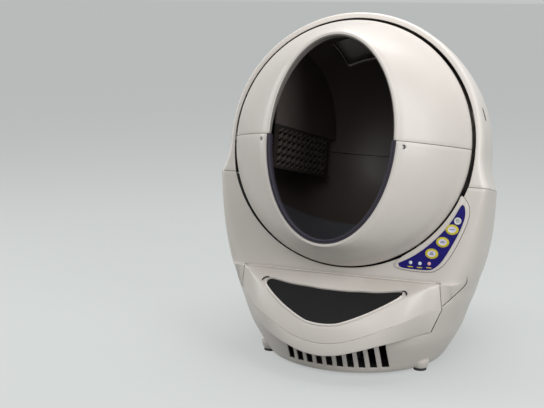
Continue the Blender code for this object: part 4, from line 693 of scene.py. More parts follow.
def rod(name, radius, start, end, place, centre=(0.0, 0.0), steps=48):
    """A cylinder along y."""
    return prism(name, disc(centre, radius, steps), start, end, place)


def turned(name, profile, place, steps):
    """An open profile of (radius, depth) points, on the axis at both ends, spun about y."""
    bm = bmesh.new()
    angles = spread(0.0, FULL_TURN, steps)[:-1]
    rows = grid(bm, [axis_ring(r, r, y, angles) for r, y in profile[1:-1]], True)
    for row, point in ((rows[0], profile[0]), (rows[-1], profile[-1])):
        tip = bm.verts.new((0.0, point[1], 0.0))
        for index in range(len(row)):
            bm.faces.new((row[index], row[(index + 1) % len(row)], tip))
    return to_object(name, bm, place)


def combine(target, tool, operation="DIFFERENCE"):
    """Cuts, joins or clips the target with a tool, which is used up."""
    modifier = target.modifiers.new(operation.lower(), "BOOLEAN")
    modifier.operation = operation
    modifier.solver = "EXACT"
    modifier.object = tool
    bake(target)
    bpy.data.objects.remove(tool, do_unlink=True)
    return target


def bake(obj):
    """Applies an object's modifiers to its mesh."""
    bpy.context.view_layer.update()
    mesh = bpy.data.meshes.new_from_object(obj.evaluated_get(bpy.context.evaluated_depsgraph_get()))
    obj.modifiers.clear()
    obj.data = mesh


def merge_meshes(name, objects):
    """Several separate pieces as one object."""
    bm = bmesh.new()
    for obj in objects:
        bm.from_mesh(obj.data)
        bpy.data.objects.remove(obj, do_unlink=True)
    return to_object(name, bm, Matrix())


def soften(obj, width, degrees=40, segments=2):
    """Rounds the sharp edges of a piece."""
    bevel = obj.modifiers.new("edge", "BEVEL")
    bevel.width = width
    bevel.segments = segments
    bevel.limit_method = "ANGLE"
    bevel.angle_limit = math.radians(degrees)
    bake(obj)
    return obj


def dress(obj, body, material, *nodes, angle=32):
    """Shades a piece, gives it its material and hangs it on its body in place of CAD nodes."""
    face_out(obj)
    obj.data.materials.clear()
    obj.data.materials.append(material)
    obj.data.shade_smooth()
    obj.data.set_sharp_from_angle(angle=math.radians(angle))
    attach(obj, body)
    if nodes:
        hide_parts(*nodes)


def face_out(obj):
    """Turns a closed piece's faces out."""
    bm = bmesh.new()
    bm.from_mesh(obj.data)
    if bm.calc_volume(signed=True) < 0:
        bmesh.ops.reverse_faces(bm, faces=bm.faces)
        bm.to_mesh(obj.data)
    bm.free()


def paint_gap_shade(obj):
    """Paints shade: blackens the walls of the opening round the globe, behind its rounded rim, and of the
    side slots, where there is only shade.
    """
    obj.data.materials.append(gap_shade_black)
    turn = AXIS.inverted()
    for face in obj.data.polygons:
        x, y, z = turn @ face.center
        normal = turn.to_3x3() @ face.normal
        inward = normal.x * x + normal.z * z < 0
        behind_rim = SHADE_START < y < RIM_FLANGE_DEPTH + FIT
        bore_wall = inward and behind_rim and math.hypot(x, z) < BORE_RADIUS + SHADE_MARGIN
        near_slot = math.hypot(y - SLOT_DEPTH_BACK, z - SLOT_RISE) < SLOT_SHADE_REACH
        slot_wall = near_slot and abs(normal.x) < SLOT_WALL_LEAN and abs(x) > SLOT_WALL_X
        if bore_wall or slot_wall:
            face.material_index = 1


# Materials


def set_inputs(node, **values):
    """Sets a node's inputs; an underscore stands for a space in an input's name."""
    for key, value in values.items():
        node.inputs[key.replace("_", " ")].default_value = value
    return node


def add_node(tree, kind, **values):
    """A new shader node with values on its inputs."""
    return set_inputs(tree.nodes.new("ShaderNode" + kind), **values)


def blank(name, colour, roughness, **values):
    """A Principled material with its uniform values on the shader's own sockets."""
    material = bpy.data.materials.new(name)
    material.use_nodes = True
    shader = material.node_tree.nodes["Principled BSDF"]
    set_inputs(shader, Base_Color=(*colour, 1.0), Roughness=roughness, **values)
    return material, material.node_tree, shader


def noise(tree, scale, detail=3.0, rough=0.55, stretch=(1.0, 1.0, 1.0)):
    """A noise texture in object coordinates, its scale in features per metre."""
    mapping = add_node(tree, "Mapping", Scale=stretch)
    texture = add_node(tree, "TexNoise", Scale=scale, Detail=detail, Roughness=rough)
    tree.links.new(add_node(tree, "TexCoord").outputs["Object"], mapping.inputs["Vector"])
    tree.links.new(mapping.outputs["Vector"], texture.inputs["Vector"])
    return texture.outputs["Fac"]


def sheen(tree, shader, fac, low, high):
    """Makes a material's roughness uneven, from low to high over a value."""
    node = add_node(tree, "MapRange", To_Min=low, To_Max=high)
    tree.links.new(fac, node.inputs["Value"])
    tree.links.new(node.outputs["Result"], shader.inputs["Roughness"])


def tint(tree, shader, fac, colour, *stops):
    """Tones a material's colour over a value; two stops of (place, share of the colour)."""
    node = add_node(tree, "ValToRGB")
    for element, (place, share) in zip(node.color_ramp.elements, stops):
        element.position = place
        element.color = (*(min(part * share, 1.0) for part in colour), 1.0)
    tree.links.new(fac, node.inputs["Fac"])
    tree.links.new(node.outputs["Color"], shader.inputs["Base Color"])


def cells(tree, scale):
    """A cell texture in object coordinates, its scale in cells per metre."""
    texture = add_node(tree, "TexVoronoi", Scale=scale)
    tree.links.new(add_node(tree, "TexCoord").outputs["Object"], texture.inputs["Vector"])
    return texture.outputs["Distance"]


def bump(tree, shader, *layers):
    """Adds bumps from (value, distance in metres, strength) layers."""
    normal = None
    for fac, distance, strength in layers:
        node = add_node(tree, "Bump", Distance=distance, Strength=strength)
        tree.links.new(fac, node.inputs["Height"])
        if normal is not None:
            tree.links.new(normal, node.inputs["Normal"])
        normal = node.outputs["Normal"]
    tree.links.new(normal, shader.inputs["Normal"])


def moulded(name, colour, roughness, vary=0.03, grain=1400, grain_depth=0.00005, coat=0.0):
    """Moulded plastic: soft patches of tone, fine spark texture and uneven sheen."""
    material, tree, shader = blank(name, colour, roughness, Coat_Weight=coat)
    tint(tree, shader, noise(tree, 7.0, 4.0), colour, (0.30, 1 - vary), (0.70, 1 + vary))
    streaks = noise(tree, 40.0, 5.0, 0.6, (1.0, 1.0, 0.35))
    sheen(tree, shader, streaks, roughness - 0.07, roughness + 0.07)
    bump(tree, shader, (noise(tree, 9.0, 1.0), 0.0006, 0.25), (noise(tree, grain, 2.0), grain_depth, 0.35))
    return material


def rubber(name, colour):
    """Matt rubber with a fine stipple and a dusty bloom."""
    material, tree, shader = blank(name, colour, 0.7, Specular_IOR_Level=0.3)
    bloom = noise(tree, 60.0, 6.0, 0.7)
    tint(tree, shader, bloom, colour, (0.35, 1.0), (0.75, 1.35))
    sheen(tree, shader, bloom, 0.55, 0.78)
    bump(tree, shader, (cells(tree, 700.0), 0.0003, 0.5))
    return material


def metal(name, colour, roughness):
    """Drawn steel with fine lengthwise brushing."""
    material, tree, shader = blank(name, colour, roughness, Metallic=1.0)
    brushed = noise(tree, 300.0, 4.0, 0.6, (1.0, 0.06, 1.0))
    sheen(tree, shader, brushed, roughness - 0.08, roughness + 0.12)
    tint(tree, shader, brushed, colour, (0.3, 0.92), (0.7, 1.05))
    bump(tree, shader, (brushed, 0.00005, 0.3))
    return material


def film(name, colour, roughness, mottle=0.25, coat=0.5, specular=0.35):
    """Printed polyester film: faint mottling under a clear glossy coat."""
    material, tree, shader = blank(name, colour, roughness, Specular_IOR_Level=specular, Coat_Weight=coat,
                                   Coat_Roughness=0.12)
    tint(tree, shader, noise(tree, 260.0, 3.0), colour, (0.35, 1 - mottle), (0.70, 1 + mottle))
    bump(tree, shader, (noise(tree, 500.0, 1.0), 0.00004, 0.3))
    return material


def carbon(name, colour):
    """Packed carbon granules."""
    material, tree, shader = blank(name, colour, 0.6)
    grains = cells(tree, 450.0)
    tint(tree, shader, grains, colour, (0.0, 2.2), (0.6, 1.0))
    bump(tree, shader, (grains, 0.001, 0.9))
    return material


def lens(name, colour):
    """A frosted lamp lens."""
    material, tree, shader = blank(name, colour, 0.22, Coat_Weight=0.8, Subsurface_Weight=0.2,
                                   Subsurface_Scale=0.004)
    cloud = noise(tree, 900.0, 2.0)
    tint(tree, shader, cloud, colour, (0.3, 0.9), (0.7, 1.05))
    sheen(tree, shader, cloud, 0.16, 0.30)
    return material


shell = moulded("shell_plastic", (0.640, 0.598, 0.555), 0.36, coat=0.08)
# Also used on the pad's bead, where its lighter tone is a painted highlight
bonnet_plastic_and_bead_highlight = moulded("bonnet_plastic_and_bead_highlight", (0.715, 0.672, 0.630), 0.36, coat=0.08)
liner = moulded("liner_plastic", (0.095, 0.077, 0.070), 0.46, 0.12, 900, 0.0001)
# Lighter brown on the screen's ribs: painted highlight where light catches them
rib_painted_highlight = moulded("screen_rib_painted_highlight", (0.150, 0.128, 0.108), 0.34, 0.12, 900)
screen_black = moulded("screen_plastic", (0.026, 0.022, 0.019), 0.34, 0.12, 900)
# Near-black on the walls of the gap round the globe and of the side slots: painted shade
gap_shade_black = moulded("painted_gap_shade", (0.010, 0.009, 0.009), 0.7, 0.15, 900)
chassis = moulded("chassis_plastic", (0.050, 0.048, 0.050), 0.5, 0.15, 900)
gear_black = moulded("gear_nylon", (0.030, 0.030, 0.032), 0.42, 0.15, 600)
nylon = moulded("natural_nylon", (0.58, 0.56, 0.50), 0.42, 0.04, 700)
lip_rubber = rubber("lip_rubber", (0.028, 0.024, 0.036))
collar_grey = moulded("collar_grey", (0.230, 0.210, 0.195), 0.45)
pad_rubber = rubber("pad_rubber", (0.006, 0.006, 0.007))
# The mat is a lighter grey than the lining round it: painted light on the globe's floor
mat_painted_light = moulded("mat_painted_light", (0.140, 0.145, 0.162), 0.34, 0.15, 500, 0.0001)
seal_rubber = rubber("seal_rubber", (0.030, 0.029, 0.031))
blue = film("panel_film", (0.009, 0.005, 0.150), 0.30, coat=0.05, specular=0.15)
yellow = film("button_ring_print", (0.66, 0.56, 0.01), 0.35, 0.08)
lilac = film("button_print", (0.66, 0.62, 0.80), 0.34, 0.05)
icon_ink = film("icon_ink", (0.03, 0.07, 0.05), 0.4, 0.1)
button_grey = film("power_button_plastic", (0.60, 0.61, 0.60), 0.30, 0.05)
steel = metal("drawn_steel", (0.60, 0.60, 0.61), 0.30)
can_steel = metal("motor_can_steel", (0.46, 0.46, 0.47), 0.38)
board_green = film("circuit_board", (0.010, 0.090, 0.035), 0.42, 0.15)
black_plastic = moulded("inlet_plastic", (0.014, 0.014, 0.015), 0.40, 0.1)
carbon_black = carbon("carbon_granules", (0.010, 0.010, 0.010))
lens_white = lens("lamp_lens", (0.66, 0.72, 0.80))
lens_red = lens("lamp_lens_red", (0.80, 0.40, 0.42))


# Bonnet


def bonnet_columns(skirt_steps=10, dome_steps=112):
    """Section marks from the right seam over the top to the left seam."""
    low = 1.0 - SEAM_GAP / 2 / SEAM_DROP
    right = [("skirt", value, 1.0) for value in spread(low, 0.0, skirt_steps)[:-1]]
    dome = [("dome", HALF_TURN * index / dome_steps, 1.0) for index in range(dome_steps + 1)]
    return right + dome + [(kind, value, -1.0) for kind, value, _ in reversed(right)]


def bonnet_ring(station, corner, inset, columns):
    """One open ring of the bonnet; corner rings follow the rounded front edge."""
    points = []
    for kind, value, side in columns:
        rise = POD_RADIUS * math.sin(value) if kind == "dome" else -SEAM_DROP * value
        blend = corner_blend(rise)
        egg_depth = corner * blend if corner is not None else max(station, blend * CORNER_START)
        depth = soft_max(egg_depth, 0.0, blend)
        x, z = bonnet_point(kind, value, pod_share(egg_depth), inset, side)
        points.append((x, inset + depth * (POD_LENGTH - 2 * inset) / POD_LENGTH, z))
    return points


def bore_ring(extra, depth, columns):
    """A ring of the opening that the globe stands in."""
    points = []
    for kind, value, side in columns:
        radius = BONNET_BORE + extra
        if kind == "dome":
            points.append((radius * math.cos(value), depth, radius * math.sin(value)))
            continue
        z = -SEAM_DROP * value
        points.append((side * radius * math.sqrt(1 - (z / (BORE_SIDE_DROP + extra)) ** 2), depth, z))
    return points


def build_bonnet():
    """The hinged cover, one skin from its back over the rim into its hollow."""
    columns = bonnet_columns()
    corners = spread(1.0, -1.0, 16)
    stations = back_depths(spread(FIRST_STATION, back_turn_shares[-1], 46))
    rings = [bonnet_ring(depth, None, 0.0, columns) for depth in reversed(stations)]
    rings += [bonnet_ring(0.0, corner, 0.0, columns) for corner in corners]
    edge = bore_ring(RIM_FILLET, 0.0, columns)
    face = rings[-1]
    for share in (0.33, 0.67):
        rings.append([tuple(Vector(a).lerp(Vector(b), share)) for a, b in zip(face, edge)])
    for turn in spread(0.0, QUARTER_TURN, 4):
        extra, depth = RIM_FILLET * (1 - math.sin(turn)), RIM_FILLET * (1 - math.cos(turn))
        rings.append(bore_ring(extra, depth, columns))
    for extra, depth in ((0.0, RIM_FLANGE_DEPTH - RIM_FILLET / 2), (RIM_FILLET / 3, RIM_FLANGE_DEPTH),
                         (RIM_FLANGE, RIM_FLANGE_DEPTH), (RIM_FLANGE, SHELL_WALL)):
        rings.append(bore_ring(extra, depth, columns))
    rings += [bonnet_ring(0.0, corner, SHELL_WALL, columns) for corner in reversed(corners)]
    rings += [bonnet_ring(depth, None, SHELL_WALL, columns) for depth in stations]
    bm = bmesh.new()
    rows = grid(bm, rings, False)
    bm.faces.new(rows[0])
    bm.faces.new(rows[-1])
    bm.faces.new([row[0] for row in rows] + [row[-1] for row in reversed(rows)])
    bonnet = to_object("bonnet_shell", bm, AXIS)
    for side, _ in SIDES:
        combine(bonnet, side_slot(side))
    soften(bonnet, SEAM_EDGE, 50)
    dress(bonnet, "bonnet", bonnet_plastic_and_bead_highlight, "bonnet")
    # Paints the gap round the globe and the side slots black, as painted shade
    paint_gap_shade(bonnet)
    low = -SEAM_DROP + SEAM_GAP
    barrel = knuckle("bonnet_knuckle", -KNUCKLE_HALF, KNUCKLE_HALF, low, low + KNUCKLE_TAB)
    dress(barrel, "bonnet", bonnet_plastic_and_bead_highlight)


def side_slot(side):
    """The narrow finger slot high on each side of the bonnet, round at both ends."""
    half = SLOT_WIDTH / 2
    reach = SLOT_SPAN / 2 - half
    outline = []
    for way, start in ((1, 0.0), (-1, HALF_TURN)):
        centre = (SLOT_DEPTH_BACK - way * reach * math.sin(SIDE_SLOT_LEAN),
                  SLOT_RISE + way * reach * math.cos(SIDE_SLOT_LEAN))
        outline += circle_points(half, half, 12, start + SIDE_SLOT_LEAN, HALF_TURN, centre)
    rings = [[(side * x, y, z) for y, z in outline] for x in (POD_RADIUS / 2, POD_HALF_WIDTH + OVERRUN)]
    return loft("slot", rings, AXIS)


def knuckle(name, start, end, low, high):
    """A hinge barrel along x with a tab to the shell."""
    turn = Matrix.Translation((0.0, HINGE_DEPTH, -SEAM_DROP)) @ Matrix.Rotation(-QUARTER_TURN, 4, "Z")
    barrel = rod(name, KNUCKLE_RADIUS, start, end, AXIS @ turn)
    tab = block("tab", (start, max(back_depths()) - SHELL_WALL / 2, low),
                (end, HINGE_DEPTH + KNUCKLE_RADIUS / 3, high), AXIS)
    combine(barrel, tab, "UNION")
    bore = rod("bore", HINGE_PIN_RADIUS + FIT, -POD_HALF_WIDTH, POD_HALF_WIDTH, AXIS @ turn, steps=32)
    combine(barrel, bore)
    return soften(barrel, FINE_EDGE)


# Base


def plan_directions():
    """Points round the base in plan, as shares of its half width and of its front or back run."""
    front = [(math.cos(turn), -math.sin(turn)) for turn in spread(0.0, QUARTER_TURN, 80)]
    back = [(math.cos(turn) ** TURN_POWER, math.sin(turn) ** TURN_POWER)
            for turn in spread(0.0, QUARTER_TURN, 60)[1:-1]]
    left_front = [(-across, along) for across, along in front[:-1]][::-1]
    left_back = [(-across, along) for across, along in back]
    return front + left_front + left_back + [(0.0, 1.0)] + back[::-1]


def base_level(row, inset, clamp):
    """One ring of the base skin, level at the ridge and leaning with the seam at the top."""
    height = mix(FOOT_LIFT, SEAM_HEIGHT, row[0])
    centre = mix(BASE_FLOOR_CENTRE, SEAM_CENTRE, row[0])
    half = POD_HALF_WIDTH * row[1] - inset
    front = centre + SEAM_FRONT * row[2] - inset
    back = SEAM_BACK * row[3] - centre - inset
    plane = (height - RING_HEIGHT) * math.tan(TILT)
    climb = max(height - RIDGE_HEIGHT, 0.0) / (SEAM_HEIGHT - RIDGE_HEIGHT)
    slope = math.tan(TILT * climb)
    points = []
    for across, along in plan_directions():
        y = centre + (back if along > 0 else front) * along
        if clamp:
            y = soft_max(y, plane + inset, RIM_ROUND_SIDE)
        points.append((half * across, y, height - (y - plane) * slope))
    return points


def base_form(name, inset, extend):
    """The base's outer form, or its hollow when inset; extend opens it above and below."""
    ridge = row_at(RIDGE_HEIGHT)[0]
    below = spread(0.0, ridge - FACET_SHAVE / SEAM_HEIGHT, 26)
    rows = [base_level(curve_at(base_rows, share), inset, False) for share in below]
    rows += [base_level(curve_at(base_rows, share), inset, True) for share in spread(ridge, 1.0, 22)]
    if extend:
        lift = Vector((0.0, OVERRUN * math.sin(TILT), OVERRUN * math.cos(TILT)))
        rows.append([Vector(point) + lift for point in rows[-1]])
        rows.insert(0, [Vector(point) - Vector((0.0, 0.0, OVERRUN)) for point in rows[0]])
    return combine(loft(name, rows, BASE), front_cutter(inset))


def front_cutter(inset):
    """What is cut away in front of the step and of the band below it."""
    rings = []
    far = -POD_LENGTH
    top = RIDGE_HEIGHT + OVERRUN / 2
    start = RIDGE_Y - FACET_SHAVE + inset
    limit = front_shares[-1][0] * DRAWER_WIDEST
    for x in [-POD_HALF_WIDTH] + spread(-limit, limit, 96) + [POD_HALF_WIDTH]:
        edge, crease, _ = front_marks(x)
        points = [(start, top), (start, RIDGE_HEIGHT - FACET_SHAVE), (edge[0] + inset, edge[1]),
                  (crease[0] + inset, crease[1]), (far, crease[1]), (far, top)]
        rings.append([(x, y, z) for y, z in points])
    return loft("front_cutter", rings, BASE)


def drawer_outline(grow):
    """The drawer front seen from the front, grown by a gap."""
    right = [(DRAWER_HALF_WIDTH + grow, RIDGE_HEIGHT + grow), (DRAWER_WIDEST + grow, DRAWER_WIDEST_HEIGHT)]
    lower = [(x + grow * (x / DRAWER_LOW_HALF), drawer_edge(x) - grow)
             for x in spread(DRAWER_LOW_HALF, -DRAWER_LOW_HALF, 60)]
    return right + lower + [(-x, z) for x, z in reversed(right)]


def vent_cutters():
    """The row of slots under the drawer, their tops following the drawer's edge."""
    cutters = []
    for index in range(VENT_COUNT):
        x = VENT_SHIFT + (index - (VENT_COUNT - 1) / 2) * VENT_PITCH
        sides = (x - VENT_WIDTH / 2, x + VENT_WIDTH / 2)
        outline = [(side, VENT_FOOT) for side in sides]
        outline += [(side, drawer_edge(side) - VENT_MARGIN) for side in reversed(sides)]
        cutters.append(prism("vent", outline, -POD_HALF_WIDTH, -DRAWER_BACK, BASE))
    return merge_meshes("vents", cutters)


def foot_boss(place):
    """A moulded foot that stands out of the base's lower edge, wider at its top."""
    rings = []
    for share in spread(0.0, 1.0, 6):
        reach = FOOT_HALF - FOOT_TAPER * (1 - share) ** 2
        height = mix(FOOT_LIFT, FOOT_HEIGHT, share)
        rings.append([(x, y, height) for x, y in disc(place, reach, 48)])
    return loft("foot_boss", rings, BASE)


def wing_groove(side):
    """The thin shut line that runs on from the drawer's corner and bends up the base's side."""
    rings = []
    path = [Vector(point) for point in wing_path]
    for index, (x, z) in enumerate(wing_path):
        run = run_at(path, index) * (WING_HALF if index < len(path) - 1 else WING_TIP_HALF)
        one, two = (x - run.y, z + run.x), (x + run.y, z - run.x)
        rings.append([(side * at[0], y, at[1]) for at, y in ((one, WING_FRONT), (one, WING_BACK),
                                                             (two, WING_BACK), (two, WING_FRONT))])
    return loft("groove", rings, BASE)


def build_base():
    """The base's outer wall with its step opening, vents and panel window."""
    base = base_form("base_skin", 0.0, False)
    for side, _ in SIDES:
        combine(base, wing_groove(side))
    wide = POD_HALF_WIDTH + OVERRUN
    cap = block("cap", (-wide, -OVERRUN, -SEAM_DROP - SEAM_GAP / 2),
                (wide, POD_LENGTH + OVERRUN, OVERRUN), AXIS)
    combine(base, cap)
    combine(base, base_form("hollow", SHELL_WALL, True))
    for place in foot_places():
        combine(base, foot_boss(place), "UNION")
    bore = circle_points(BASE_BORE_ACROSS, BASE_BORE_DOWN, 160)
    combine(base, prism("bore", bore, -OVERRUN * 4, SHELL_WALL * 2, AXIS))
    bay = drawer_outline(BAY_GAP)
    combine(base, prism("bay", bay, -POD_HALF_WIDTH, -DRAWER_BACK + OVERRUN / 2, BASE))
    combine(base, vent_cutters())
    window = grown(round_outline(scaled(bezel_outline_shares)), FIT * 3)
    combine(base, prism("window", window, -OVERRUN, SHELL_WALL * 3, AXIS))
    spot = (INLET_X, INLET_HEIGHT)
    face = base_back_at(*spot) + INLET_BOSS_PROUD
    combine(base, rod("boss", INLET_BOSS, face - INLET_BOSS, face, BASE, spot), "UNION")
    combine(base, rod("hole", INLET_RADIUS + FIT, 0.0, POD_LENGTH, BASE, spot))
    soften(base, FINE_EDGE, 45)
    dress(base, "base", shell, "base_shell")
    # Paints the gap round the globe black, as painted shade
    paint_gap_shade(base)
    start = KNUCKLE_HALF + KNUCKLE_GAP
    for side, word in SIDES:
        ends = sorted((side * start, side * (start + KNUCKLE_SIDE)))
        ear = knuckle("base_knuckle_" + word, *ends, -SEAM_DROP - KNUCKLE_TAB, -SEAM_DROP - SEAM_GAP)
        dress(ear, "base", shell)


# Globe


def half_angles(lower, steps=88):
    """Angles round half of the globe, from the right seam or the left seam."""
    start = HALF_TURN if lower else 0.0
    return spread(start, start + HALF_TURN, steps)


def globe_rings(inset, lower, shares):
    """All rings of half a globe at an inset, without its mouth edge."""
    angles = half_angles(lower)
    rings = [[globe_point(a, share, inset, lower) for a in angles] for share in shares]
    rings += [globe_back_ring(share, angles, inset)
              for share in spread(0.0, GLOBE_BACK_FINE, 6)[1:] + spread(GLOBE_BACK_FINE, 1.0, 44)[1:]]
    return [[(x, y, z + split_lift(lower)) for x, y, z in ring] for ring in rings]


def mouth_ring(lower, grow, depth):
    """A ring round the mouth's edge."""
    half_width, height = mouth_size(lower)
    return axis_ring(half_width + grow, height + grow, depth, half_angles(lower), split_lift(lower))


def collar_ring(grow, share):
    """A ring of the collar inside the upper mouth, which is deepest at the top."""
    start = MOUTH_EDGE_ROUND - MOUTH_FORWARD
    edge = mouth_ring(False, grow, start)
    return [(x, y + share * (COLLAR_LEAST + COLLAR_DEPTH * z / MOUTH_RISE), z) for x, y, z in edge]


def globe_half(name, lower):
    """One moulded half of the globe, with its rounded and thickened mouth edge."""
    layers = []
    for inset, foot, edge in ((0.0, MOUTH_EDGE, MOUTH_EDGE_ROUND),
                              (GLOBE_WALL, 0.0, -MOUTH_EDGE_ROUND / 2)):
        rings = [mouth_ring(lower, foot - edge * (1 - math.sin(turn)),
                            -MOUTH_FORWARD + abs(edge) * (1 - math.cos(turn)))
                 for turn in spread(0.0, QUARTER_TURN, 4)]
        layers.append(rings + globe_rings(inset, lower, spread(GLOBE_FRONT_START, 1.0, 26)))
    return open_shell(name, *layers)


def port_cutter(grow):
    """The waste port's opening with rounded corners, cut from above."""
    low, high = PORT_LOW_X - grow, PORT_HIGH_X + grow
    start, end = PORT_START - grow, PORT_END + grow
    radius = PORT_CORNER + grow
    outline = []
    corners = ((high - radius, end - radius), (low + radius, end - radius), (low + radius, start + radius),
               (high - radius, start + radius))
    for index, centre in enumerate(corners):
        outline += circle_points(radius, radius, 6, QUARTER_TURN * index, QUARTER_TURN, centre)
    return loft("port", [[(x, y, z) for x, y in outline] for z in (0.0, GLOBE_RADIUS + OVERRUN)], AXIS)


def screw_frame(side):
    """The place of a screw beside the mouth, its y axis out of the globe's face."""
    place = Matrix.Translation((side * GLOBE_SCREW_X, GLOBE_SCREW_DEPTH, GLOBE_SCREW_RISE))
    return AXIS @ place @ Matrix.Rotation(side * GLOBE_SCREW_LEAN, 4, "Z")


def build_globe():
    """Both halves of the globe, their lining, screws, collar, mat and the port's seal."""
    for word, low in (("upper", False), ("lower", True)):
        half = globe_half("globe_%s_skin" % word, low)
        if low:
            seat = GLOBE_SCREW_RADIUS + GLOBE_SCREW_SEAT
            for side, _ in SIDES:
                combine(half, rod("seat", seat, -OVERRUN, GLOBE_SCREW_THICK, screw_frame(side)))
        else:
            combine(half, port_cutter(0.0))
        dress(soften(half, FINE_EDGE / 2, 50), "globe", shell, "globe_" + word)
        shares = spread(LINING_START_LOW if low else LINING_START_HIGH, 1.0, 24)
        near = GLOBE_WALL + FIT
        layers = [globe_rings(inset, low, shares) for inset in (near, near + LINING_WALL)]
        lining = open_shell("globe_lining_" + word, *layers)
        if not low:
            combine(lining, port_cutter(0.0))
        dress(lining, "globe", liner, "lining_" + word)
    for side, word in SIDES:
        build_screw(side, word)
    layers = [[collar_ring(grow, share) for share in spread(0.0, 1.0, 4)]
              for grow in (-FIT, -FIT - COLLAR_WALL)]
    dress(open_shell("mouth_collar", *layers), "globe", collar_grey)
    # The mat's lighter grey is painted light on the globe's floor
    dress(bed_mat(), "globe", mat_painted_light, angle=50)
    gasket = open_ring("port_gasket")
    combine(gasket, port_cutter(PORT_FRAME), "INTERSECT")
    combine(gasket, port_cutter(0.0))
    dress(soften(gasket, FINE_EDGE), "globe", seal_rubber, "port_seal")


def open_ring(name):
    """A band that lies on the globe over the port's length."""
    depths = spread(PORT_START - PORT_FRAME * 2, PORT_END + PORT_FRAME * 2, 20)
    angles = spread(0.0, HALF_TURN, 88)
    layers = []
    for thick in (PORT_PROUD, 0.0):
        radii = [globe_profile_radius(depth) + FIT * 2 + thick for depth in depths]
        layers.append([axis_ring(radius, radius, depth, angles) for radius, depth in zip(radii, depths)])
    return open_shell(name, *layers)


def bed_mat():
    """The rubber mat that lines the bed of the globe, its far edge an arc across the lining; its lighter
    grey than the lining is painted light.
    """
    layers = []
    for thick in (MAT_THICK, 0.0):
        rows = []
        for across in spread(-MAT_EDGE_SHARE, MAT_EDGE_SHARE, 80):
            turn = across * MAT_TURN
            reach = MAT_REACH * math.sqrt(1 - across * across)
            row = []
            for share in spread(0.0, 1.0, 30):
                depth = mix(MAT_START, reach, share)
                lip = min((1 - share) * MAT_END_SLOPE, 1.0, (1 - abs(across)) * MAT_SIDE_SLOPE)
                inset = LINING_INSET + thick * math.sqrt(max(lip, 0.0))
                if depth > 0:
                    radius = globe_profile_radius(depth) - inset
                    row.append((radius * math.sin(turn), depth, -radius * math.cos(turn)))
                else:
                    row.append(globe_point(DOWNWARDS + turn, 1 + depth / MOUTH_FORWARD, inset, True))
            rows.append(row)
        layers.append(rows)
    return open_shell("bed_mat", *layers)


def build_screw(side, word):
    """A countersunk screw head with a cross recess."""
    back = GLOBE_SCREW_THICK - FIT
    profile = [(share * GLOBE_SCREW_RADIUS, depth) for share, depth in screw_section]
    profile += [(GLOBE_SCREW_RADIUS, back), (0.0, back)]
    head = turned("globe_screw_head_" + word, profile, screw_frame(side), 40)
    arm, half = GLOBE_SCREW_RADIUS * GLOBE_SCREW_ARM, GLOBE_SCREW_RADIUS * GLOBE_SCREW_ARM_HALF
    for a, b in ((arm, half), (half, arm)):
        combine(head, block("cross", (-a, -OVERRUN, -b), (a, GLOBE_SCREW_THICK / 2, b), screw_frame(side)))
    dress(head, "globe", steel, "globe_screw_" + word)


def build_lip():
    """The rubber lip on the lower half of the mouth, with a bead along its outer edge."""
    lines = [axis_ring(MOUTH_HALF_WIDTH_LOW + grow * LIP_WIDTH, MOUTH_DROP + grow * LIP_WIDTH,
                  depth * LIP_PROUD - MOUTH_FORWARD, half_angles(True, 120), split_lift(True))
             for grow, depth in lip_section]
    dress(loft("mouth_lip", zip(*lines), AXIS), "globe", lip_rubber, "entry_lip", angle=50)


def clip_to_cabin(obj):
    """Keeps what stands inside the lined globe."""
    angles = half_angles(False)[:-1] + half_angles(True)[:-1]
    rings = [[globe_point(a, share, LINING_INSET, a >= HALF_TURN) for a in angles]
             for share in spread(CABIN_FRONT_START, 1.0, 24)]
    rings += [globe_back_ring(share, angles, LINING_INSET) for share in spread(0.0, 1.0, 40)[1:]]
    return combine(obj, loft("limit", rings, AXIS), "INTERSECT")


def screen_bars(name, lifts, tall, low, high):
    """Slanted bars between two values of x on the screen's grid of slots, moved up by each lift."""
    bars = []
    span = SCREEN_END - SCREEN_START - SCREEN_FRAME * 4
    height = SCREEN_HEAD - SCREEN_FOOT - SCREEN_FRAME * 2
    half = SLOT_LENGTH / 2
    step = math.tan(SLOT_LEAN) * half
    for place in range(SLOT_ROWS * len(lifts) * SLOT_COLUMNS):
        row, rest = divmod(place, len(lifts) * SLOT_COLUMNS)
        lift, column = divmod(rest, SLOT_COLUMNS)
        depth = SCREEN_START + SCREEN_FRAME * 2 + span * (column + 0.5) / SLOT_COLUMNS
        rise = SCREEN_FOOT + SCREEN_FRAME + height * (row + 0.5) / SLOT_ROWS + lifts[lift]
        corners = [(depth - half, rise - step - tall), (depth + half, rise + step - tall),
                   (depth + half, rise + step + tall), (depth - half, rise - step + tall)]
        bars.append(loft("bar", [[(x, y, z) for y, z in corners] for x in (low, high)], AXIS))
    return merge_meshes(name, bars)


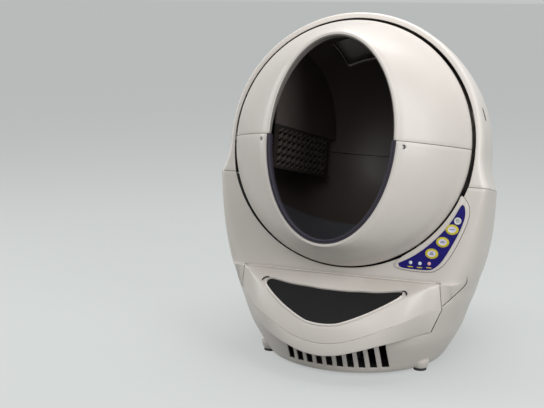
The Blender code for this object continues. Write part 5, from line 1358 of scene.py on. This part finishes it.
def build_screen():
    """The slotted sifting screen with its ribs, and the solid wall above it."""
    near, far = SCREEN_X - SCREEN_THICK / 2, SCREEN_X + SCREEN_THICK / 2
    screen = block("screen_sheet", (near, SCREEN_START, SCREEN_FOOT),
                   (far, SCREEN_END, SCREEN_HEAD - FIT), AXIS)
    lip = block("lip", (near, SCREEN_START, SCREEN_FOOT),
                (SCREEN_X + SCREEN_LIP, SCREEN_END, SCREEN_FOOT + SCREEN_THICK), AXIS)
    combine(screen, lip, "UNION")
    through = OVERRUN / 2
    combine(screen, screen_bars("slots", (0.0,), SLOT_HEIGHT / 2, SCREEN_X - through, SCREEN_X + through))
    dress(soften(clip_to_cabin(screen), THIN_EDGE, 45, 1), "globe", screen_black, "sifting_screen")
    lift = SLOT_HEIGHT / 2 + RIB_HALF + FIT
    ribs = screen_bars("screen_ribs", (-lift, lift), RIB_HALF, far - FIT, far + RIB_PROUD)
    # The ribs carry a lighter brown as a painted highlight
    dress(clip_to_cabin(ribs), "globe", rib_painted_highlight)
    wall = block("cabin_wall", (near, SCREEN_START, SCREEN_HEAD), (far, GLOBE_LENGTH, GLOBE_RADIUS), AXIS)
    dress(soften(clip_to_cabin(wall), THIN_EDGE, 45, 1), "globe", liner, "screen_wall")


# Drawer


def fillet_points(before, corner, after, radius, steps):
    """Points that round a corner between two neighbours."""
    b, c, a = Vector(before), Vector(corner), Vector(after)
    start = c + (b - c).normalized() * min(radius, (b - c).length * FILLET_LIMIT)
    end = c + (a - c).normalized() * min(radius, (a - c).length * FILLET_LIMIT)
    return [tuple(start * (1 - t) ** 2 + c * 2 * t * (1 - t) + end * t * t) for t in spread(0.0, 1.0, steps)]


def front_section(x, skin, step_skin, sole, back, detail):
    """The drawer front's section at x as (y, z) points."""
    edge, crease, bottom = front_marks(x)
    ridge = (RIDGE_Y + skin, RIDGE_HEIGHT - step_skin - FIT)
    edge = (edge[0] + skin, edge[1] - step_skin)
    crease = (crease[0] + skin, crease[1] - skin / 4)
    bottom = (bottom[0] + skin, bottom[1] + sole)
    corner = (back, bottom[1])
    if not detail:
        return [ridge, edge, crease, bottom, corner, (back, ridge[1])]
    fold = Vector(crease)
    down, low = (Vector(edge) - fold).normalized(), (Vector(bottom) - fold).normalized()
    points = [ridge] + fillet_points(ridge, edge, crease, EDGE_FILLET, 7)
    moves = (down * CREASE_HALF, Vector((CREASE_DEPTH, 0.0)), low * CREASE_HALF)
    points += [tuple(fold + move) for move in moves]
    points += fillet_points(crease, bottom, corner, BOTTOM_FILLET, 4)
    return points + [corner, (back, ridge[1])]


def front_solid(name, skin, step_skin, sole, back, detail=False):
    """The drawer front's form, thinned inwards for its hollow."""
    rings = []
    wide = DRAWER_WIDEST + DRAWER_MARGIN
    for x in spread(-wide, wide, 110):
        points = front_section(x, skin, step_skin, sole, back, detail)
        rings.append([(x, min(y, back - FIT) if 0 < i < len(points) - 2 else y, z)
                      for i, (y, z) in enumerate(points)])
    return loft(name, rings, BASE)


def pad_rows(grow, steps=48):
    """The pad's upper and lower edges across the step."""
    turns = [math.sin(QUARTER_TURN * place) for place in spread(-1.0, 1.0, steps)]
    return [(turn * (PAD_HALF_WIDTH + grow), *curve_at(pad_shares, abs(turn), True)[1:]) for turn in turns]


def pad_solid(name, grow, low, high, bow=0.0):
    """The smile-shaped pad between two heights over the step."""
    rings = []
    for x, upper, lower in pad_rows(grow):
        edge = front_marks(x)[0]
        more = grow / math.hypot(edge[0] - RIDGE_Y, edge[1] - RIDGE_HEIGHT)
        shares = spread(upper - more, lower + more, 8)
        under = [step_point(x, share, low) for share in shares]
        over = [step_point(x, share, high + bow * math.sin(HALF_TURN * index / 8))
                for index, share in enumerate(shares)]
        rings.append(under + over[::-1])
    return loft(name, rings, BASE)


def hook_bead(name, side, radius):
    """A small curved bead beyond one end of the pad: the notch there, and the black fill in it that paints
    the notch's shade.
    """
    path = []
    for turn in spread(0.0, QUARTER_TURN, 12):
        share = HOOK_START + HOOK_RUN * (1 - math.cos(turn))
        point = step_point(HOOK_X + HOOK_WIDTH * math.sin(turn), share, HOOK_LIFT)
        path.append(Vector((side * point.x, point.y, point.z)))
    return bead(name, path, radius)


def bead(name, path, radius, up=Vector((0.0, 0.0, 1.0)), place=BASE):
    """A round raised line along a path of points, thinner at its ends."""
    rings = []
    for index, point in enumerate(path):
        run = run_at(path, index)
        side = run.cross(up).normalized()
        rise = side.cross(run)
        from_end = min(index, len(path) - 1 - index)
        size = radius * min(1.0, BEAD_TIP + BEAD_GROWTH * from_end)
        rings.append([point + side * x + rise * z for x, z in disc((0.0, 0.0), size, 14)])
    return loft(name, rings, place)


def build_beads():
    """The raised lines along the step's upper edge and round the pad's lower edge, and the black fills of
    the pad's end notches, as painted shade.
    """
    limit = DRAWER_HALF_WIDTH - RIDGE_BEAD_SHORT
    top = [Vector((x, RIDGE_Y - RIDGE_BEAD_FORWARD, RIDGE_HEIGHT - RIDGE_BEAD_DROP))
           for x in spread(-limit, limit, 80)]
    dress(bead("ridge_bead", top, RIDGE_BEAD), "drawer", shell)
    rim = [step_point(x, lower + PAD_BEAD_DOWN, PAD_BEAD_LIFT)
           for x, _, lower in pad_rows(PAD_BEAD_SIDE, 96)]
    # The pad's bead takes the lighter bonnet plastic as a painted highlight
    dress(bead("pad_bead", rim, PAD_BEAD), "drawer", bonnet_plastic_and_bead_highlight)
    # Black fills in the notches at the pad's ends: painted shade
    for side, word in SIDES:
        dress(hook_bead("notch_painted_shade_" + word, side, HOOK_RADIUS - FIT), "drawer", pad_rubber)


def build_drawer():
    """The waste drawer's moulded front and its rubber step pad."""
    front = front_solid("drawer_face", 0.0, 0.0, 0.0, -DRAWER_BACK, True)
    shape = prism("shape", drawer_outline(-FIT), -POD_HALF_WIDTH, -DRAWER_BACK + OVERRUN, BASE)
    combine(front, shape, "INTERSECT")
    hollow = front_solid("hollow", FRONT_SKIN, STEP_SKIN, DRAWER_SOLE, OVERRUN)
    room = prism("room", drawer_outline(-FRONT_SKIN), -POD_HALF_WIDTH, OVERRUN, BASE)
    combine(hollow, room, "INTERSECT")
    combine(front, hollow)
    combine(front, pad_solid("pocket", POCKET_GAP, -PAD_POCKET, OVERRUN))
    for side, _ in SIDES:
        combine(front, hook_bead("hook", side, HOOK_RADIUS))
    dress(soften(front, FINE_EDGE, 55), "drawer", shell, "drawer_front")
    low = -PAD_POCKET + FIT
    high = low + PAD_THICK * (1 - PAD_BOW_SHARE)
    pad = pad_solid("step_pad_sheet", 0.0, low, high, PAD_THICK * PAD_BOW_SHARE)
    dress(soften(pad, FINE_EDGE, 50), "drawer", pad_rubber, "step_pad")
    build_beads()


# Control panel


def panel_openings():
    """Cutters for the buttons and lamps."""
    outlines = [oval(place, BUTTON_GAP) for place in scaled(oval_button_shares)]
    outlines += [disc(place, ROUND_BUTTON_RADIUS + BUTTON_GAP, 48) for place in scaled([round_button_share])]
    outlines += [disc(place, LED_RADIUS + FIT, 40) for place in scaled(led_shares)]
    holes = [prism("hole", outline, -OVERRUN, OVERRUN / 2, AXIS) for outline in outlines]
    return merge_meshes("holes", holes)


def cap_solid(name, across, up, place, face, end, dish):
    """A button or lamp: an oval body with a rounded edge and a dished or domed face."""
    profile = [(share, dish * sink) for share, sink in cap_dish] + list(cap_edge) + [(1.0, end - face)]
    rings = []
    for share, sink in profile:
        outline = circle_points(across * share, up * share, ROUND_STEPS, centre=place)
        rings.append([(x, face + sink, z) for x, z in outline])
    return loft(name, rings, AXIS)


def print_bar(name, place, half, low, high, face):
    """A thin printed bar on a face, from low to high above a place."""
    return block(name, (place[0] - half, face - PRINT_THICK, place[1] + low),
                 (place[0] + half, face + PRINT_THICK, place[1] + high), AXIS)


def print_ring(name, outline, face, hole):
    """A thin printed ring on a face, between an outline and a hole."""
    patch = prism(name, outline, face - PRINT_THICK, face + PRINT_THICK, AXIS)
    return combine(patch, prism("hole", hole, face - OVERRUN, face + OVERRUN, AXIS))


def icon_power(name, place, face):
    """A ring open at its top with a bar in the gap."""
    ring = print_ring(name, disc(place, POWER_RING, 40), face, disc(place, POWER_RING_HOLE, 40))
    combine(ring, block("gap", (place[0] - POWER_GAP_HALF, face - OVERRUN, place[1]),
                        (place[0] + POWER_GAP_HALF, face + OVERRUN, place[1] + POWER_RING * 3), AXIS))
    bar = print_bar("bar", place, POWER_BAR_HALF, POWER_BAR_FOOT, POWER_BAR_HEAD, face)
    return combine(ring, bar, "UNION")


def icon_bars(name, place, face, count):
    """One to three short bars, as a plain mark."""
    bars = []
    for index in range(count):
        middle = (index - (count - 1) / 2) * BAR_PITCH
        bars.append(print_bar("bar", place, BAR_HALF - BAR_STEP * index, middle - BAR_HALF_THICK,
                              middle + BAR_HALF_THICK, face))
    return merge_meshes(name, bars)


def build_panel():
    """Bezel, blue film, four buttons with printed rings and icons, three lamps with their bars."""
    frame_outline = round_outline(scaled(bezel_outline_shares))
    bezel = prism("panel_frame", frame_outline, -BEZEL_PROUD, BEZEL_BACK, AXIS)
    sheet = round_outline(scaled(membrane_outline_shares))
    combine(bezel, prism("pocket", grown(sheet, FIT), -OVERRUN, FILM_SINK, AXIS))
    combine(bezel, panel_openings())
    dress(soften(bezel, PANEL_EDGE, 50, 3), "base", shell, "panel_bezel")
    rim = [Vector((x, -BEZEL_PROUD + FIT, z)) for x, z in grown(sheet, PANEL_BEAD_OUT)]
    dress(bead("panel_bead", rim + rim[:2], PANEL_BEAD, Vector((0.0, -1.0, 0.0)), AXIS), "base", shell)
    film_sheet = prism("panel_film_sheet", sheet, FILM_FACE, FILM_SINK - FIT, AXIS)
    combine(film_sheet, panel_openings())
    dress(film_sheet, "base", blue, "panel_membrane")
    end = BOARD_DEPTH - BUTTON_TRAVEL - FIT * 2
    words = ("cycle", "empty", "reset")
    for count, (word, place) in enumerate(zip(words, scaled(oval_button_shares)), 1):
        node = "button_" + word
        cap = cap_solid("button_cap_" + word, OVAL_HALF_WIDTH, OVAL_HALF_HEIGHT, place, BUTTON_FACE, end,
                        OVAL_DISH)
        dress(cap, node, lilac, node)
        dress(oval_print("button_ring_" + word, place), node, yellow)
        ring = print_ring("film_ring_" + word, oval(place, FILM_RING), FILM_FACE, oval(place, BUTTON_GAP))
        dress(ring, "base", yellow)
        dress(icon_bars("button_mark_" + word, place, BUTTON_FACE + OVAL_MARK_SINK, count), node, icon_ink)
    place = scaled([round_button_share])[0]
    cap = cap_solid("button_cap_power", ROUND_BUTTON_RADIUS, ROUND_BUTTON_RADIUS, place, BUTTON_FACE, end,
                    ROUND_DISH)
    dress(cap, "button_power", button_grey, "button_power")
    mark = icon_power("button_mark_power", place, BUTTON_FACE + ROUND_MARK_SINK)
    dress(mark, "button_power", icon_ink)
    looks = (lens_white, lens_white, lens_red)
    for word, place, look in zip(("left", "middle", "right"), scaled(led_shares), looks):
        lamp = cap_solid("lamp_lens_" + word, LED_RADIUS, LED_RADIUS, place,
                         BUTTON_FACE + BUTTON_PROUD / 2, BOARD_DEPTH - FIT, -LENS_DOME)
        dress(lamp, "base", look, "lamp_" + word)
        foot = (place[0], place[1] - LED_RADIUS * LAMP_BAR_DROP)
        bar = print_bar("lamp_bar_" + word, foot, LAMP_BAR_HALF, -LAMP_BAR_HALF_THICK, LAMP_BAR_HALF_THICK,
                        FILM_FACE)
        dress(bar, "base", yellow)


def oval_print(name, place):
    """The printed ring round an oval button's face."""
    rings = []
    for share, rise in oval_print_rows:
        sink = OVAL_DISH * max(0.0, 1 - (share / OVAL_DISH_END)) * OVAL_DISH_SHARE
        across, up = OVAL_HALF_WIDTH * share + PRINT_THICK, OVAL_HALF_HEIGHT * share + PRINT_THICK
        rings.append([(x, BUTTON_FACE + sink + rise, z)
                      for x, z in circle_points(across, up, ROUND_STEPS, centre=place)])
    bm = bmesh.new()
    grid(bm, rings, True)
    return to_object(name, bm, AXIS)


# Camera, light and floor

RING_CENTRE = Vector((0.0, RING_Y, RING_HEIGHT))
VIEW_ACROSS = Vector((0.9265, 0.3762, 0.0))
VIEW_UP = Vector((-0.0750, 0.1847, 0.9799))
VIEW_BACK = Vector((0.3687, -0.9079, 0.1994))
VIEW_LENS = 74.98
VIEW_SENSOR = 36.0
VIEW_PLACE = RING_CENTRE + VIEW_BACK * 2.415 - VIEW_ACROSS * 0.1675 - VIEW_UP * 0.1302
FLOOR_SIZE = 30.0
SURROUND = (0.80, 0.83, 0.82, 1.0)
LIT_POINT = Vector((0.0, 0.0, 0.38))

# Name, place, size and watts of each lamp
lamps = (
    ("top", (0.1, 0.3, 2.6), (2.0, 1.6), 46.0),
    ("right", (2.4, -1.5, 1.5), (1.4, 1.8), 43.0),
    ("left", (-2.4, -0.5, 1.3), (1.2, 1.6), 21.0),
    ("front", (0.3, -2.6, 1.9), (1.8, 1.6), 21.0),
)


def build_camera():
    """The photograph's viewpoint."""
    data = bpy.data.cameras.new("camera")
    data.lens = VIEW_LENS
    data.sensor_width = VIEW_SENSOR
    camera = add_object("camera", data)
    camera.location = VIEW_PLACE
    camera.rotation_euler = Matrix((VIEW_ACROSS, VIEW_UP, VIEW_BACK)).transposed().to_euler()
    bpy.context.scene.camera = camera


def area_light(name, place, size, power):
    """A soft rectangular light, aimed at the object and not seen itself."""
    data = bpy.data.lights.new(name, "AREA")
    data.shape = "RECTANGLE"
    data.size, data.size_y = size
    data.energy = power
    light = add_object(name, data)
    light.location = place
    light.rotation_euler = (Vector(place) - LIT_POINT).to_track_quat("Z", "Y").to_euler()
    light.visible_camera = False


def seen_rays(tree):
    """One for camera, glossy and transmission rays, else zero."""
    path = add_node(tree, "LightPath")
    value = path.outputs["Is Camera Ray"]
    for kind in ("Is Glossy Ray", "Is Transmission Ray"):
        either = add_node(tree, "Math")
        either.operation = "MAXIMUM"
        tree.links.new(value, either.inputs[0])
        tree.links.new(path.outputs[kind], either.inputs[1])
        value = either.outputs["Value"]
    return value


def show_to_eye(tree, plain, seen, surface):
    """Gives seen rays one shader and all other rays the plain one."""
    mixer = add_node(tree, "MixShader")
    tree.links.new(seen_rays(tree), mixer.inputs["Fac"])
    tree.links.new(plain, mixer.inputs[1])
    tree.links.new(seen, mixer.inputs[2])
    tree.links.new(mixer.outputs["Shader"], surface)


def build_stage():
    """A pale floor, a pale surround and soft lights."""
    bm = bmesh.new()
    bmesh.ops.create_grid(bm, x_segments=1, y_segments=1, size=FLOOR_SIZE)
    floor = to_object("floor", bm, Matrix())
    material, tree, shader = blank("floor_paint", (0.22, 0.23, 0.225), 0.9, Specular_IOR_Level=0.1)
    glow = add_node(tree, "Emission", Color=SURROUND, Strength=0.50)
    add = add_node(tree, "AddShader")
    plain = shader.outputs["BSDF"]
    tree.links.new(plain, add.inputs[0])
    tree.links.new(glow.outputs["Emission"], add.inputs[1])
    show_to_eye(tree, plain, add.outputs["Shader"], tree.nodes["Material Output"].inputs["Surface"])
    floor.data.materials.append(material)
    world = bpy.data.worlds.new("surround")
    bpy.context.scene.world = world
    world.use_nodes = True
    tree = world.node_tree
    back = set_inputs(tree.nodes["Background"], Color=(1.0, 1.0, 1.0, 1.0), Strength=0.26)
    shown = add_node(tree, "Background", Color=SURROUND, Strength=0.68)
    show_to_eye(tree, back.outputs["Background"], shown.outputs["Background"],
                tree.nodes["World Output"].inputs["Surface"])
    for lamp in lamps:
        area_light(*lamp)
    bpy.context.scene.view_settings.view_transform = "Standard"


def dress_nodes():
    """Materials of the CAD nodes that stay shown."""
    corners = ("front_left", "front_right", "rear_left", "rear_right")
    looks = {
        chassis: ["deck", "floor_plate", "waste_bin", "filter_holder", "globe_hub"]
                 + [kind + side for kind in ("bracket_", "drawer_runner_") for _, side in SIDES],
        seal_rubber: ["foot_" + corner for corner in corners],
        gear_black: ["drive_ring"],
        nylon: ["drive_pinion"] + ["roller_" + corner for corner in corners],
        steel: ["hinge_pin", "motor_shaft", "gearbox"] + ["axle_" + corner for corner in corners],
        can_steel: ["motor"],
        carbon_black: ["carbon_filter"],
        board_green: ["circuit_board"],
        black_plastic: ["power_inlet"],
    }
    for material, names in looks.items():
        for name in names:
            node = frame["nodes"][name]
            node.data.materials.clear()
            node.data.materials.append(material)


build_camera()
build_stage()
dress_nodes()
build_bonnet()
build_base()
build_globe()
build_lip()
build_screen()
build_drawer()
build_panel()
